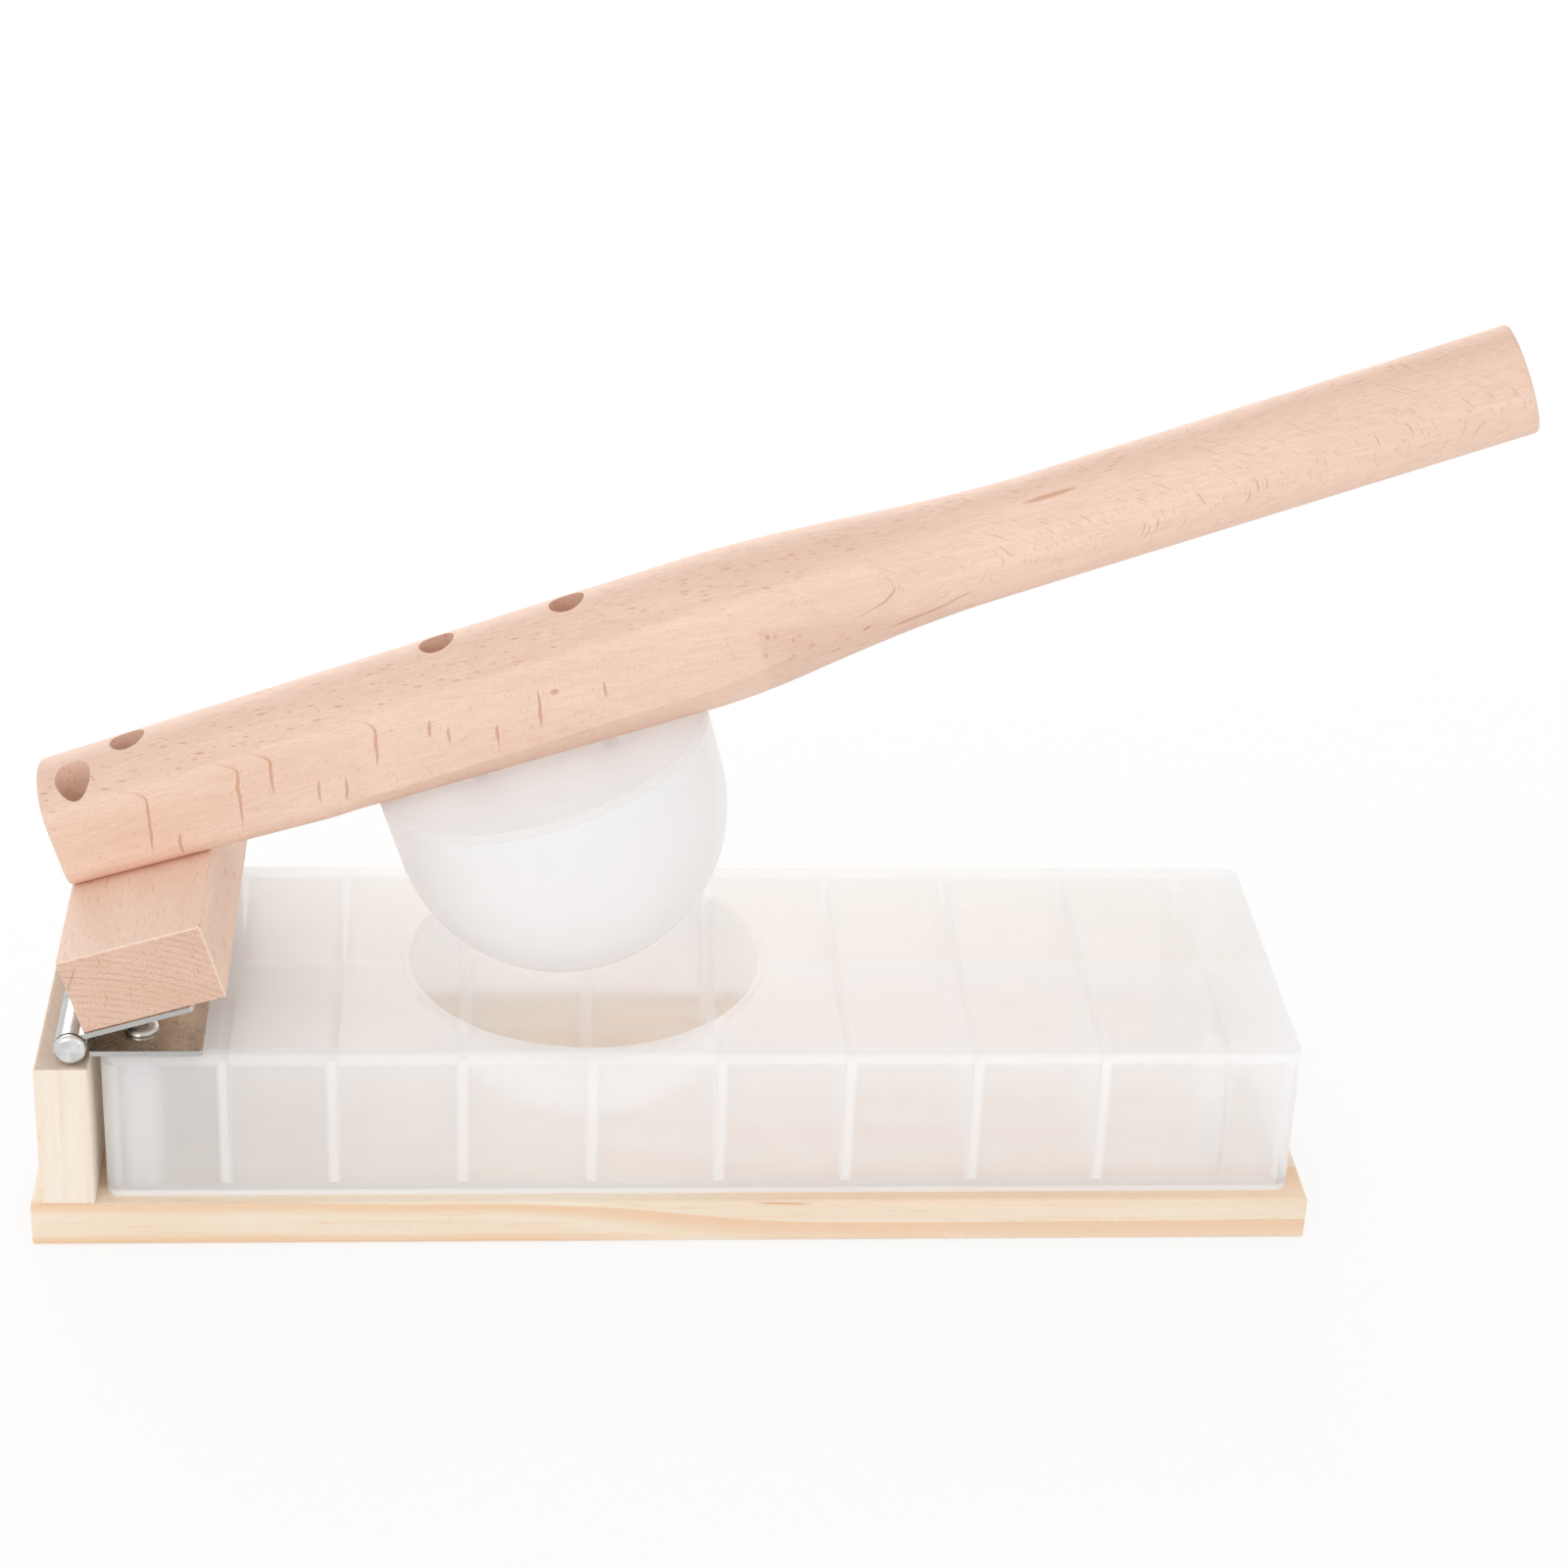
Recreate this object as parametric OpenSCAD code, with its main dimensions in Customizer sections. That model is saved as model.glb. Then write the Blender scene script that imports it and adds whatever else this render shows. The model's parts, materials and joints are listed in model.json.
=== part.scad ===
// Lever press that forms dough into a bowl shape: a wooden lever swings a hollow plastic
// dome into the round hollow of a ribbed plastic mould box. Millimetres, +Z up, X along
// the base, origin at the middle of the base board's underside, pose as stored.

/* [Base board and hinge post] */
// Length of the base board
base_l = 350; // [340:1:360]
// Depth of the base board, front to back
base_w = 114; // [112:1:120]
// Thickness of the base board
base_t = 13; // [12:0.5:16]
// Rounding on the edges of the sawn wood
wood_ease = 1.2; // [0.8:0.1:1.8]
// Thickness of the upright hinge post
post_t = 14.5; // [13.5:0.5:15]
// Height of the post above the base board
post_h = 43; // [40:0.5:43]
// Step from the left end of the base board to the post
post_inset = 3; // [2.5:0.5:4]

/* [Mould box] */
// Length of the mould box
box_l = 325; // [320:1:328]
// Depth of the mould box, front to back
box_w = 105; // [104:1:110]
// Height of the mould box
box_h = 45; // [44:0.5:47]
// Middle of the box, right of the middle of the base
box_x = 7.5; // [7:0.5:9]
// Thickness of the deck
deck_t = 2.8; // [2:0.1:3.2]
// Thickness of the side walls
wall_t = 2.6; // [2:0.1:3]
// Rounding on the upright corners
corner_r = 4; // [3:0.5:5]
// Rounding along the deck's edge
deck_edge_r = 1.6; // [1:0.1:2]
// Spacing of the cross ribs
rib_pitch = 34.9; // [33:0.1:35]
// Thickness of a rib where it meets the deck
rib_t = 3; // [2.4:0.1:3.4]
// Gap between the ribs and the base board
rib_foot = 4; // [3:0.5:6]
// Radius of the round hollow
bowl_r = 49; // [48:0.5:50]
// Height of the hollow's centre above the deck
bowl_rise = 7; // [6:0.5:9]
// Place of the hollow along the base, from its middle
bowl_x = -24.9; // [-26:0.1:-24]
// Thickness of the hollow's wall
bowl_t = 2.2; // [1.8:0.1:2.4]
// Rounding of the hollow's rim
rim_round = 1.5; // [1:0.1:2]

/* [Hinge] */
// Length of the butt hinge
hinge_len = 107; // [100:1:110]
// Outer radius of the knuckles
knuckle_r = 4.4; // [4.2:0.1:4.6]
// Thickness of the leaf steel
leaf_t = 1.5; // [1.2:0.1:1.6]
// Width of a leaf from the pin's axis
leaf_w = 34.6; // [33:0.1:36]
// Distance from the pin's axis to the outer face of a leaf
leaf_offset = 2.8; // [2.7:0.1:3]
// Radius of the hinge pin
pin_r = 2.85; // [2.6:0.05:2.85]

/* [Lever] */
// Angle of the lever above its closed position, as stored
rest_angle = 16.5; // [8:0.5:60]
// Width of the cross block
block_w = 39.6; // [38:0.1:41]
// Thickness of the cross block
block_t = 22.4; // [21:0.1:24]
// Length of the cross block, front to back
block_l = 106.4; // [104:0.1:110]
// Distance from the pin's axis to the cross block
block_gap = 4.6; // [4.4:0.1:5]
// Length of the handle
handle_l = 411; // [400:1:420]
// Width of the handle
handle_w = 30; // [28:0.5:32]
// Height of the handle at its hinge end
handle_end_h = 32; // [30:0.5:34]
// Rise of the handle's top towards the grip, in degrees
handle_rise = 3; // [2.5:0.1:3.5]
// Radius of the grip
grip_r = 14.8; // [14:0.1:15]
// Radius of the counterbores in the handle
counterbore_r = 5; // [4.8:0.1:5.4]

/* [Press dome] */
// Radius of the dome
dome_r = 46; // [44:0.5:46.5]
// Radius of the dome at its rim
dome_rim_r = 46.4; // [46:0.1:47]
// Depth from the handle's underside to the centre of the dome
dome_drop = 19; // [18:0.5:21]
// Distance from the cross block's left face to the dome's axis
dome_place = 132.6; // [132:0.1:133.2]
// Wall thickness of the dome
dome_t = 2.4; // [2:0.1:3]
// Thickness of the flat cover over the dome
cover_t = 2.6; // [2:0.1:3]

/* [Hidden] */

// Colours of the materials
PINE = [0.93, 0.84, 0.68];
BEECH = [0.89, 0.72, 0.59];
MILKY = [0.93, 0.93, 0.92, 0.6];
STEEL = [0.72, 0.72, 0.71];

cut = 1;
touch = 0.01;
round_fn = 96;
small_fn = 48;
hull_fn = 32;

// Heights
deck_z = base_t + box_h;
rib_bottom_z = base_t + rib_foot;

// Hinge: the lower leaf lies on the deck, and the pin's axis runs front to back above the post
post_x = -base_l / 2 + post_inset;
hinge_x = post_x + 9.8;
hinge_z = deck_z + leaf_offset;
knuckle_count = 5;
knuckle_w = hinge_len / knuckle_count;
knuckle_gap = 0.3;
knuckle_room = 0.6;
pin_clear = 0.05;
pin_head_r = 4.3;
pin_head_t = 2.1;
pin_head_bevel = 0.6;
pin_end_play = 0.2;
leaf_screw_x = 17.7;
leaf_screw_y = [-42, -14, 14, 42];
leaf_corner_r = 1;

// Screws: shank and head sizes, and the clearances of their holes
shank_r = 2.1;
pilot_r = 2.15;
through_r = 2.2;
csk_r = 3.6;
csk_h = 1.5;
pan_r = 4.6;
pan_h = 2;
tip_h = 4;
cross_l = 4.2;
cross_w = 0.9;
cross_depth = 1;
leaf_screw_l = 16;

// Screws driven from under the base board
foot_screw_r = 4.1;
foot_screw_h = 2;
foot_recess = 0.4;
foot_screw_l = 32;
post_screw_y = 34;
boss_r = 5;
post_foot_r = 3.6;
web_t = 2;
web_h = 26;
left_boss_x = hinge_x + leaf_screw_x;
left_boss_y = 42;
right_boss_y = 34.5;

// Screws in the handle's counterbores
handle_screw_l = 34;
handle_head_r = 4.6;
handle_head_h = 2.8;
block_screw_floor = 16.5;
dome_screw_floor = 18;
block_screw_places = [[10.5, -8.5], [26, 0]];
dome_screw_spread = 18.35;

// Ribs: the short bay is at the left, and the others stand at an even pitch
box_left_x = box_x - box_l / 2;
first_bay = 32.5;
second_rib = 61.5;
rib_xs = concat(
    [box_left_x + first_bay],
    [for (k = [0:7]) box_left_x + second_rib + k * rib_pitch]
);
last_rib_x = box_left_x + second_rib + 7 * rib_pitch;
rib_foot_t = 2;

// Places of the screws driven from under the base board, into the post and into the box
post_screw_places = [for (side = [-1, 1]) [post_x + post_t / 2, side * post_screw_y]];
left_posts = [for (side = [-1, 1]) [left_boss_x, side * left_boss_y]];
right_posts = [for (side = [-1, 1]) [last_rib_x, side * right_boss_y]];

// Places on the lever, measured from the pin's axis along and square to its underside
block_z = leaf_offset;
under_z = block_z + block_t;
dome_x = block_gap + dome_place;
dome_centre_z = under_z - dome_drop;
seam_z = under_z - cover_t;
spigot_h = 5;
spigot_t = 2;
spigot_clear = 0.1;
cover_boss_r = 6;
cover_boss_h = 16;

// Handle outline, measured from its hinge end
shoulder_top = [185, 280];
shoulder_under = [180, 260];
shoulder_drop = 6.2;
grip_axis_h = 11;
crown_h = 13;
edge_round = 5.5;
facet_run = [72, 92];
facet_growth = 0.055;
facet_round = 0.1;
end_ease = 1.2;

// Smooth step from 0 at a to 1 at b
function smooth(x, range) =
    let (t = max(0, min(1, (x - range[0]) / (range[1] - range[0])))) t * t * (3 - 2 * t);
function mix(a, b, t) = a + (b - a) * t;

// How far a handle section is drawn in where the two ends are rounded over
function end_inset(x) =
    let (d = max(0, end_ease - x, end_ease - (handle_l - x))) end_ease - sqrt(end_ease ^ 2 - d ^ 2);

// Sizes of a handle section at distance x from the hinge end
function top_h(x) = handle_end_h + tan(handle_rise) * x - smooth(x, shoulder_top) * shoulder_drop;
function grip_mid(x) = grip_axis_h + tan(handle_rise) * x;
function under_h(x) = smooth(x, shoulder_under) * (grip_mid(x) - grip_r);
function half_w(x) = mix(handle_w / 2, grip_r, smooth(x, shoulder_top));
function crown(x) = mix(crown_h, grip_r, smooth(x, shoulder_top));
function under_corner(x) =
    mix(edge_round + facet_growth * max(0, x - facet_run[1]), grip_r, smooth(x, shoulder_under));
function roundness(x) =
    mix(mix(1, facet_round, smooth(x, facet_run)), 1, smooth(x, shoulder_under));

// One ring of points round the handle: an elliptical crown above straight sides, and
// corners below that turn from a rounding into a widening facet, and then into the round
// of the grip. On the grip the ring leans with the rise, so that it is square to the grip
crown_steps = 16;
corner_steps = 5;
least_flat = 0.3;
function lower_corner(side, hw, foot, size, round_share, t) =
    let (a = 90 * t)
    [
        side * (hw - size + size * mix(1 - t, cos(a), round_share)),
        foot + size * (1 - mix(t, sin(a), round_share))
    ];
function handle_ring(x) =
    let (
        inset = end_inset(x),
        hw = half_w(x) - inset,
        top = top_h(x) - inset,
        foot = under_h(x) + inset,
        rise = crown(x) - inset,
        size = min(under_corner(x) - inset, hw - least_flat),
        lean = tan(handle_rise) * smooth(x, shoulder_top),
        outline = concat(
            [for (i = [0:crown_steps]) let (a = 180 * i / crown_steps)
                [hw * cos(a), top - rise + rise * sin(a)]],
            [for (i = [0:corner_steps])
                lower_corner(-1, hw, foot, size, roundness(x), i / corner_steps)],
            [for (i = [0:corner_steps])
                lower_corner(1, hw, foot, size, roundness(x), 1 - i / corner_steps)]
        )
    )
    [for (p = outline) [x - lean * (p[1] - grip_mid(x)), p[0], p[1]]];
handle_stations = concat(
    [0, 0.35, end_ease, 36, 72, 77, 82, 87, 92, 115, 140, 162],
    [for (x = [180:8:284]) x],
    [330, 370, handle_l - end_ease, handle_l - 0.35, handle_l]
);

// Rectangle with rounded corners, centred
module rounded_rect(l, w, r) {
    square([l - 2 * r, w], center = true);
    square([l, w - 2 * r], center = true);
    for (x = [-1, 1], y = [-1, 1])
        translate([x * (l / 2 - r), y * (w / 2 - r)])
            circle(r = r, $fn = small_fn);
}

// A board of the given size, centred on X and Y, with all its edges rounded
module eased_board(size, ease) {
    translate([0, 0, size[2] / 2])
        intersection() {
            linear_extrude(size[2], center = true)
                rounded_rect(size[0], size[1], ease);
            rotate([90, 0, 0])
                linear_extrude(size[1], center = true)
                    rounded_rect(size[0], size[2], ease);
            rotate([90, 0, 90])
                linear_extrude(size[0], center = true)
                    rounded_rect(size[1], size[2], ease);
        }
}

// Countersunk screw with its head's flat face at the origin, pointing up
module countersunk_screw(length, head_r, head_h) {
    rotate_extrude($fn = small_fn)
        polygon([
            [0, 0], [head_r, 0], [shank_r, head_h],
            [shank_r, length - tip_h], [0, length]
        ]);
}

// Pan-head screw with its head's underside at the origin, pointing down
module pan_screw(length, head_r, head_h) {
    difference() {
        rotate_extrude($fn = small_fn)
            polygon([
                [0, -length], [shank_r, tip_h - length], [shank_r, 0], [head_r, 0],
                [head_r, 0.4 * head_h], [0.9 * head_r, 0.75 * head_h],
                [0.62 * head_r, head_h], [0, head_h]
            ]);
        for (a = [0, 90])
            rotate([0, 0, a])
                translate([-cross_l / 2, -cross_w / 2, head_h - cross_depth])
                    cube([cross_l, cross_w, cross_depth + cut]);
    }
}

// Sets children at the hinge, turned with the lever, with X along the lever's underside
module on_lever() {
    translate([hinge_x, 0, hinge_z])
        rotate([0, -rest_angle, 0])
            children();
}

// Hole for a screw driven up through the base board, with its head's seat
module foot_hole() {
    translate([0, 0, -cut])
        cylinder(h = base_t + 2 * cut, r = through_r, $fn = small_fn);
    translate([0, 0, -cut])
        cylinder(h = foot_recess + cut, r = foot_screw_r, $fn = small_fn);
    translate([0, 0, foot_recess])
        cylinder(h = foot_screw_h, r1 = foot_screw_r, r2 = shank_r, $fn = small_fn);
}

module base_board() {
    color(PINE)
        difference() {
            eased_board([base_l, base_w, base_t], wood_ease);
            for (p = concat(post_screw_places, left_posts, right_posts))
                translate([p[0], p[1], 0])
                    foot_hole();
        }
}

module hinge_post() {
    color(PINE)
        difference() {
            translate([post_x + post_t / 2, 0, base_t])
                eased_board([post_t, base_w, post_h], wood_ease);
            for (p = post_screw_places)
                translate([p[0], p[1], base_t - cut])
                    cylinder(h = foot_screw_l - base_t + 2 * cut, r = pilot_r, $fn = small_fn);
        }
}

// Screws at the given places, from under the base board into what stands on it
module foot_screws(places) {
    color(STEEL)
        for (p = places)
            translate([p[0], p[1], foot_recess])
                countersunk_screw(foot_screw_l, foot_screw_r, foot_screw_h);
}

// Outer form of the box, with round upright corners and a rounded deck edge
module box_form() {
    hull()
        for (x = [-1, 1], y = [-1, 1])
            translate([
                x * (box_l / 2 - corner_r), y * (box_w / 2 - corner_r), 0
            ])
                rotate_extrude($fn = hull_fn) {
                    square([corner_r, box_h - deck_edge_r]);
                    square([corner_r - deck_edge_r, box_h]);
                    translate([corner_r - deck_edge_r, box_h - deck_edge_r])
                        intersection() {
                            circle(r = deck_edge_r, $fn = hull_fn);
                            square(deck_edge_r);
                        }
                }
}

// A rib across the box, thicker where it meets the deck
module cross_rib(x) {
    translate([x, box_w / 2 - wall_t / 2, 0])
        rotate([90, 0, 0])
            linear_extrude(box_w - wall_t)
                polygon([
                    [-rib_foot_t / 2, rib_bottom_z], [rib_foot_t / 2, rib_bottom_z],
                    [rib_t / 2, deck_z - deck_t / 2], [-rib_t / 2, deck_z - deck_t / 2]
                ]);
}

// The rib along the middle of the box
module long_rib() {
    translate([box_left_x + wall_t / 2, 0, 0])
        rotate([90, 0, 90])
            linear_extrude(box_l - wall_t)
                polygon([
                    [-rib_foot_t / 2, rib_bottom_z], [rib_foot_t / 2, rib_bottom_z],
                    [rib_t / 2, deck_z - deck_t / 2], [-rib_t / 2, deck_z - deck_t / 2]
                ]);
}

// Posts under the deck for the leaf screws and the foot screws, which end level with the
// ribs, the feet that carry four of them down to the base board, and two webs
module screw_posts() {
    top_z = deck_z - deck_t / 2;
    for (p = concat([for (y = leaf_screw_y) [left_boss_x, y]], right_posts))
        translate([p[0], p[1], rib_bottom_z])
            cylinder(h = top_z - rib_bottom_z, r = boss_r, $fn = small_fn);
    for (p = concat(left_posts, right_posts))
        translate([p[0], p[1], base_t])
            cylinder(h = rib_foot + touch, r = post_foot_r, $fn = small_fn);
    for (p = left_posts)
        translate([box_left_x + wall_t / 2, p[1] - web_t / 2, top_z - web_h])
            cube([p[0] - box_left_x - wall_t / 2, web_t, web_h]);
}

// Half outline, from the deck's level, of what rounds the hollow's rim: the arc touches
// the deck and the hollow's sphere
module rim_cut() {
    to_arc = sqrt((bowl_r + rim_round) ^ 2 - (bowl_rise + rim_round) ^ 2);
    on_sphere = bowl_r / (bowl_r + rim_round);
    difference() {
        polygon([
            [0, bowl_rise - on_sphere * (bowl_rise + rim_round)],
            [on_sphere * to_arc, bowl_rise - on_sphere * (bowl_rise + rim_round)],
            [to_arc, 0], [to_arc, cut], [0, cut]
        ]);
        translate([to_arc, -rim_round])
            circle(r = rim_round, $fn = small_fn);
    }
}

module mould_box() {
    bowl_z = deck_z + bowl_rise;
    color(MILKY)
        difference() {
            union() {
                difference() {
                    translate([box_x, 0, base_t])
                        box_form();
                    translate([box_x, 0, base_t - cut])
                        linear_extrude(box_h - deck_t + cut)
                            rounded_rect(box_l - 2 * wall_t, box_w - 2 * wall_t, corner_r - wall_t);
                }
                for (x = rib_xs)
                    cross_rib(x);
                long_rib();
                screw_posts();
                intersection() {
                    translate([bowl_x, 0, bowl_z])
                        sphere(r = bowl_r + bowl_t, $fn = round_fn);
                    translate([bowl_x - 2 * bowl_r, -2 * bowl_r, base_t])
                        cube([4 * bowl_r, 4 * bowl_r, box_h - deck_t / 2]);
                }
            }
            translate([bowl_x, 0, bowl_z])
                sphere(r = bowl_r, $fn = round_fn);
            translate([bowl_x, 0, deck_z])
                rotate_extrude($fn = round_fn)
                    rim_cut();
            for (y = leaf_screw_y)
                translate([left_boss_x, y, deck_z - leaf_screw_l])
                    cylinder(h = leaf_screw_l + cut, r = pilot_r, $fn = small_fn);
            for (p = concat(left_posts, right_posts))
                translate([p[0], p[1], 0])
                    cylinder(h = foot_screw_l + cut, r = pilot_r, $fn = small_fn);
        }
}

// One leaf of the hinge below the pin's axis, with the knuckles listed in own
module hinge_leaf(own) {
    others = [for (k = [0:knuckle_count - 1]) if (len(search(k, own)) == 0) k];
    difference() {
        union() {
            translate([0, 0, -leaf_offset])
                linear_extrude(leaf_t)
                    difference() {
                        leaf_outline();
                        for (k = others)
                            translate([-cut, k * knuckle_w - hinge_len / 2 - knuckle_gap / 2])
                                square([cut + knuckle_r + knuckle_room, knuckle_w + knuckle_gap]);
                    }
            for (k = own)
                translate([0, k * knuckle_w - hinge_len / 2 + knuckle_gap / 2, 0])
                    rotate([-90, 0, 0])
                        cylinder(h = knuckle_w - knuckle_gap, r = knuckle_r, $fn = small_fn);
        }
        rotate([90, 0, 0])
            cylinder(h = hinge_len + 2 * cut, r = pin_r + pin_clear, center = true, $fn = small_fn);
        for (y = leaf_screw_y)
            translate([leaf_screw_x, y, leaf_t - leaf_offset]) {
                translate([0, 0, -leaf_t - cut])
                    cylinder(h = leaf_t + 2 * cut, r = through_r, $fn = small_fn);
                translate([0, 0, -csk_h])
                    cylinder(h = csk_h, r1 = shank_r, r2 = csk_r, $fn = small_fn);
            }
    }
}

// Flat outline of a leaf, with its two free corners rounded
module leaf_outline() {
    translate([0, -hinge_len / 2])
        square([leaf_w - leaf_corner_r, hinge_len]);
    translate([0, -hinge_len / 2 + leaf_corner_r])
        square([leaf_w, hinge_len - 2 * leaf_corner_r]);
    for (y = [-1, 1])
        translate([leaf_w - leaf_corner_r, y * (hinge_len / 2 - leaf_corner_r)])
            circle(r = leaf_corner_r, $fn = small_fn);
}

module lower_hinge_leaf() {
    color(STEEL)
        translate([hinge_x, 0, hinge_z])
            hinge_leaf([1, 3]);
}

module upper_hinge_leaf() {
    color(STEEL)
        on_lever()
            mirror([0, 0, 1])
                hinge_leaf([0, 2, 4]);
}

// Pin with a bevelled button head formed on each end
module hinge_pin() {
    reach = hinge_len / 2 + pin_end_play;
    color(STEEL)
        translate([hinge_x, 0, hinge_z])
            rotate([90, 0, 0])
                rotate_extrude($fn = small_fn)
                    polygon([
                        [0, -reach - pin_head_t], [pin_head_r - pin_head_bevel, -reach - pin_head_t],
                        [pin_head_r, pin_head_bevel - reach - pin_head_t], [pin_head_r, -reach],
                        [pin_r, -reach], [pin_r, reach], [pin_head_r, reach],
                        [pin_head_r, reach + pin_head_t - pin_head_bevel],
                        [pin_head_r - pin_head_bevel, reach + pin_head_t], [0, reach + pin_head_t]
                    ]);
}

// Pan-head screws on the lower leaf, into the posts under the deck
module lower_leaf_screws() {
    color(STEEL)
        for (y = leaf_screw_y)
            translate([left_boss_x, y, deck_z + leaf_t])
                pan_screw(leaf_screw_l, pan_r, pan_h);
}

// Countersunk screws through the upper leaf into the cross block
module upper_leaf_screws() {
    color(STEEL)
        on_lever()
            for (y = leaf_screw_y)
                translate([leaf_screw_x, y, leaf_offset - leaf_t])
                    countersunk_screw(leaf_screw_l, csk_r, csk_h);
}

module cross_block() {
    color(BEECH)
        on_lever()
            difference() {
                translate([block_gap + block_w / 2, 0, block_z])
                    eased_board([block_w, block_l, block_t], wood_ease / 2);
                for (y = leaf_screw_y)
                    translate([leaf_screw_x, y, block_z - cut])
                        cylinder(h = leaf_screw_l + cut, r = pilot_r, $fn = small_fn);
                for (p = block_screw_places)
                    translate([block_gap + p[0], p[1], under_z + block_screw_floor - handle_screw_l])
                        cylinder(h = handle_screw_l, r = pilot_r, $fn = small_fn);
            }
}

// Handle body as a skin over its rings, ends closed flat
module handle_body() {
    rings = [for (x = handle_stations) handle_ring(x)];
    n = len(rings[0]);
    last = len(rings) - 1;
    points = [for (ring = rings) for (p = ring) p];
    faces = concat(
        [[for (i = [0:n - 1]) i]],
        [[for (i = [0:n - 1]) last * n + n - 1 - i]],
        [for (s = [0:last - 1]) for (i = [0:n - 1]) let (j = (i + 1) % n)
            [s * n + i, (s + 1) * n + i, s * n + j]],
        [for (s = [0:last - 1]) for (i = [0:n - 1]) let (j = (i + 1) % n)
            [s * n + j, (s + 1) * n + i, (s + 1) * n + j]]
    );
    polyhedron(points = points, faces = faces, convexity = 4);
}

// Counterbored hole down through the handle, with its floor at the given height
module counterbore(floor_h) {
    cylinder(h = 3 * handle_end_h, r = counterbore_r, $fn = small_fn);
    translate([0, 0, -floor_h - cut])
        cylinder(h = floor_h + 2 * cut, r = through_r, $fn = small_fn);
}

module handle() {
    color(BEECH)
        on_lever()
            difference() {
                translate([block_gap, 0, under_z])
                    handle_body();
                for (p = block_screw_places)
                    translate([block_gap + p[0], p[1], under_z + block_screw_floor])
                        counterbore(block_screw_floor);
                for (side = [-1, 1])
                    translate([dome_x + side * dome_screw_spread, 0, under_z + dome_screw_floor])
                        counterbore(dome_screw_floor);
            }
}

// Screws in the counterbores, from the handle into the cross block
module block_screws() {
    color(STEEL)
        on_lever()
            for (p = block_screw_places)
                translate([block_gap + p[0], p[1], under_z + block_screw_floor])
                    pan_screw(handle_screw_l, handle_head_r, handle_head_h);
}

// Screws in the counterbores, from the handle into the posts of the dome's cover
module dome_screws() {
    color(STEEL)
        on_lever()
            for (side = [-1, 1])
                translate([dome_x + side * dome_screw_spread, 0, under_z + dome_screw_floor])
                    pan_screw(handle_screw_l, handle_head_r, handle_head_h);
}

// Flat cover with a spigot that locates the dome and two posts for the screws
module dome_cover() {
    spigot_r = dome_rim_r - dome_t - spigot_clear;
    color(MILKY)
        on_lever()
            translate([dome_x, 0, seam_z])
                difference() {
                    union() {
                        cylinder(h = cover_t, r = dome_rim_r, $fn = round_fn);
                        translate([0, 0, -spigot_h])
                            difference() {
                                cylinder(h = spigot_h + cover_t / 2, r = spigot_r - spigot_clear, $fn = round_fn);
                                translate([0, 0, -cut])
                                    cylinder(h = spigot_h + cut, r = spigot_r - spigot_t, $fn = round_fn);
                            }
                        for (side = [-1, 1])
                            translate([side * dome_screw_spread, 0, -cover_boss_h])
                                cylinder(h = cover_boss_h + cover_t / 2, r = cover_boss_r, $fn = small_fn);
                    }
                    for (side = [-1, 1])
                        translate([
                            side * dome_screw_spread, 0, cover_t + dome_screw_floor - handle_screw_l
                        ])
                            cylinder(h = handle_screw_l, r = pilot_r, $fn = small_fn);
                }
}

// Half outline of the dome: a round bottom that runs up into a slightly flared wall
module dome_outline(r, rim_r) {
    intersection() {
        union() {
            translate([0, dome_centre_z])
                circle(r = r, $fn = round_fn);
            polygon([
                [0, dome_centre_z], [r, dome_centre_z], [rim_r, seam_z], [0, seam_z]
            ]);
        }
        translate([0, dome_centre_z - 2 * r])
            square([2 * r, 2 * r + seam_z - dome_centre_z]);
    }
}

module press_dome() {
    color(MILKY)
        on_lever()
            translate([dome_x, 0, 0])
                difference() {
                    rotate_extrude($fn = round_fn)
                        dome_outline(dome_r, dome_rim_r);
                    translate([0, 0, touch])
                        rotate_extrude($fn = round_fn)
                            dome_outline(dome_r - dome_t, dome_rim_r - dome_t);
                }
}

base_board();
hinge_post();
foot_screws(post_screw_places);  // post_screws
mould_box();
foot_screws(left_posts);  // left_box_screws
foot_screws(right_posts);  // right_box_screws
lower_hinge_leaf();
lower_leaf_screws();
hinge_pin();
upper_hinge_leaf();
upper_leaf_screws();
cross_block();
handle();
block_screws();
dome_screws();
dome_cover();
press_dome();
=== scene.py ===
"""A lever press that forms dough into a bowl shape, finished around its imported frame. Metres."""

import json
import math

import bmesh
import bpy
from mathutils import Matrix, Vector


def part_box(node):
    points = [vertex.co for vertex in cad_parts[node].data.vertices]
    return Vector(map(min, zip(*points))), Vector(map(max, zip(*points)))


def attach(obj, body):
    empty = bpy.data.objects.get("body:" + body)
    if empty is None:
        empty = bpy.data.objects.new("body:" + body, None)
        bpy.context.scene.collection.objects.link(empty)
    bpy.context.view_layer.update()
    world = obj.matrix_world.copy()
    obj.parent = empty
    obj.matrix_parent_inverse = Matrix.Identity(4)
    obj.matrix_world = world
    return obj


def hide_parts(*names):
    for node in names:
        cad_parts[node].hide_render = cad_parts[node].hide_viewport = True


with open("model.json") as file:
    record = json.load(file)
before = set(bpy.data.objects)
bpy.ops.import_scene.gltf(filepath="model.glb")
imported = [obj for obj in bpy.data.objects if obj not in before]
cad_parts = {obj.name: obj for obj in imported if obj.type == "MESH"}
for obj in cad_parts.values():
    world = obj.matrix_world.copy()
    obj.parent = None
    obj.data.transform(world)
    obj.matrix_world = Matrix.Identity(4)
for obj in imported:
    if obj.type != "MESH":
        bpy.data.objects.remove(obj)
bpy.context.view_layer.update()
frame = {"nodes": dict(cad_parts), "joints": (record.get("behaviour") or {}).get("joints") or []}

# ------------------------------------------------------------------ base board
# The board that everything stands on: sawn pine, 350 by 114 by 13 mm, planed on its faces
# with its edges eased by hand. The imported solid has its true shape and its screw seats, so
# it stays and takes the pine finish made here.
MM = 0.001


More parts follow.
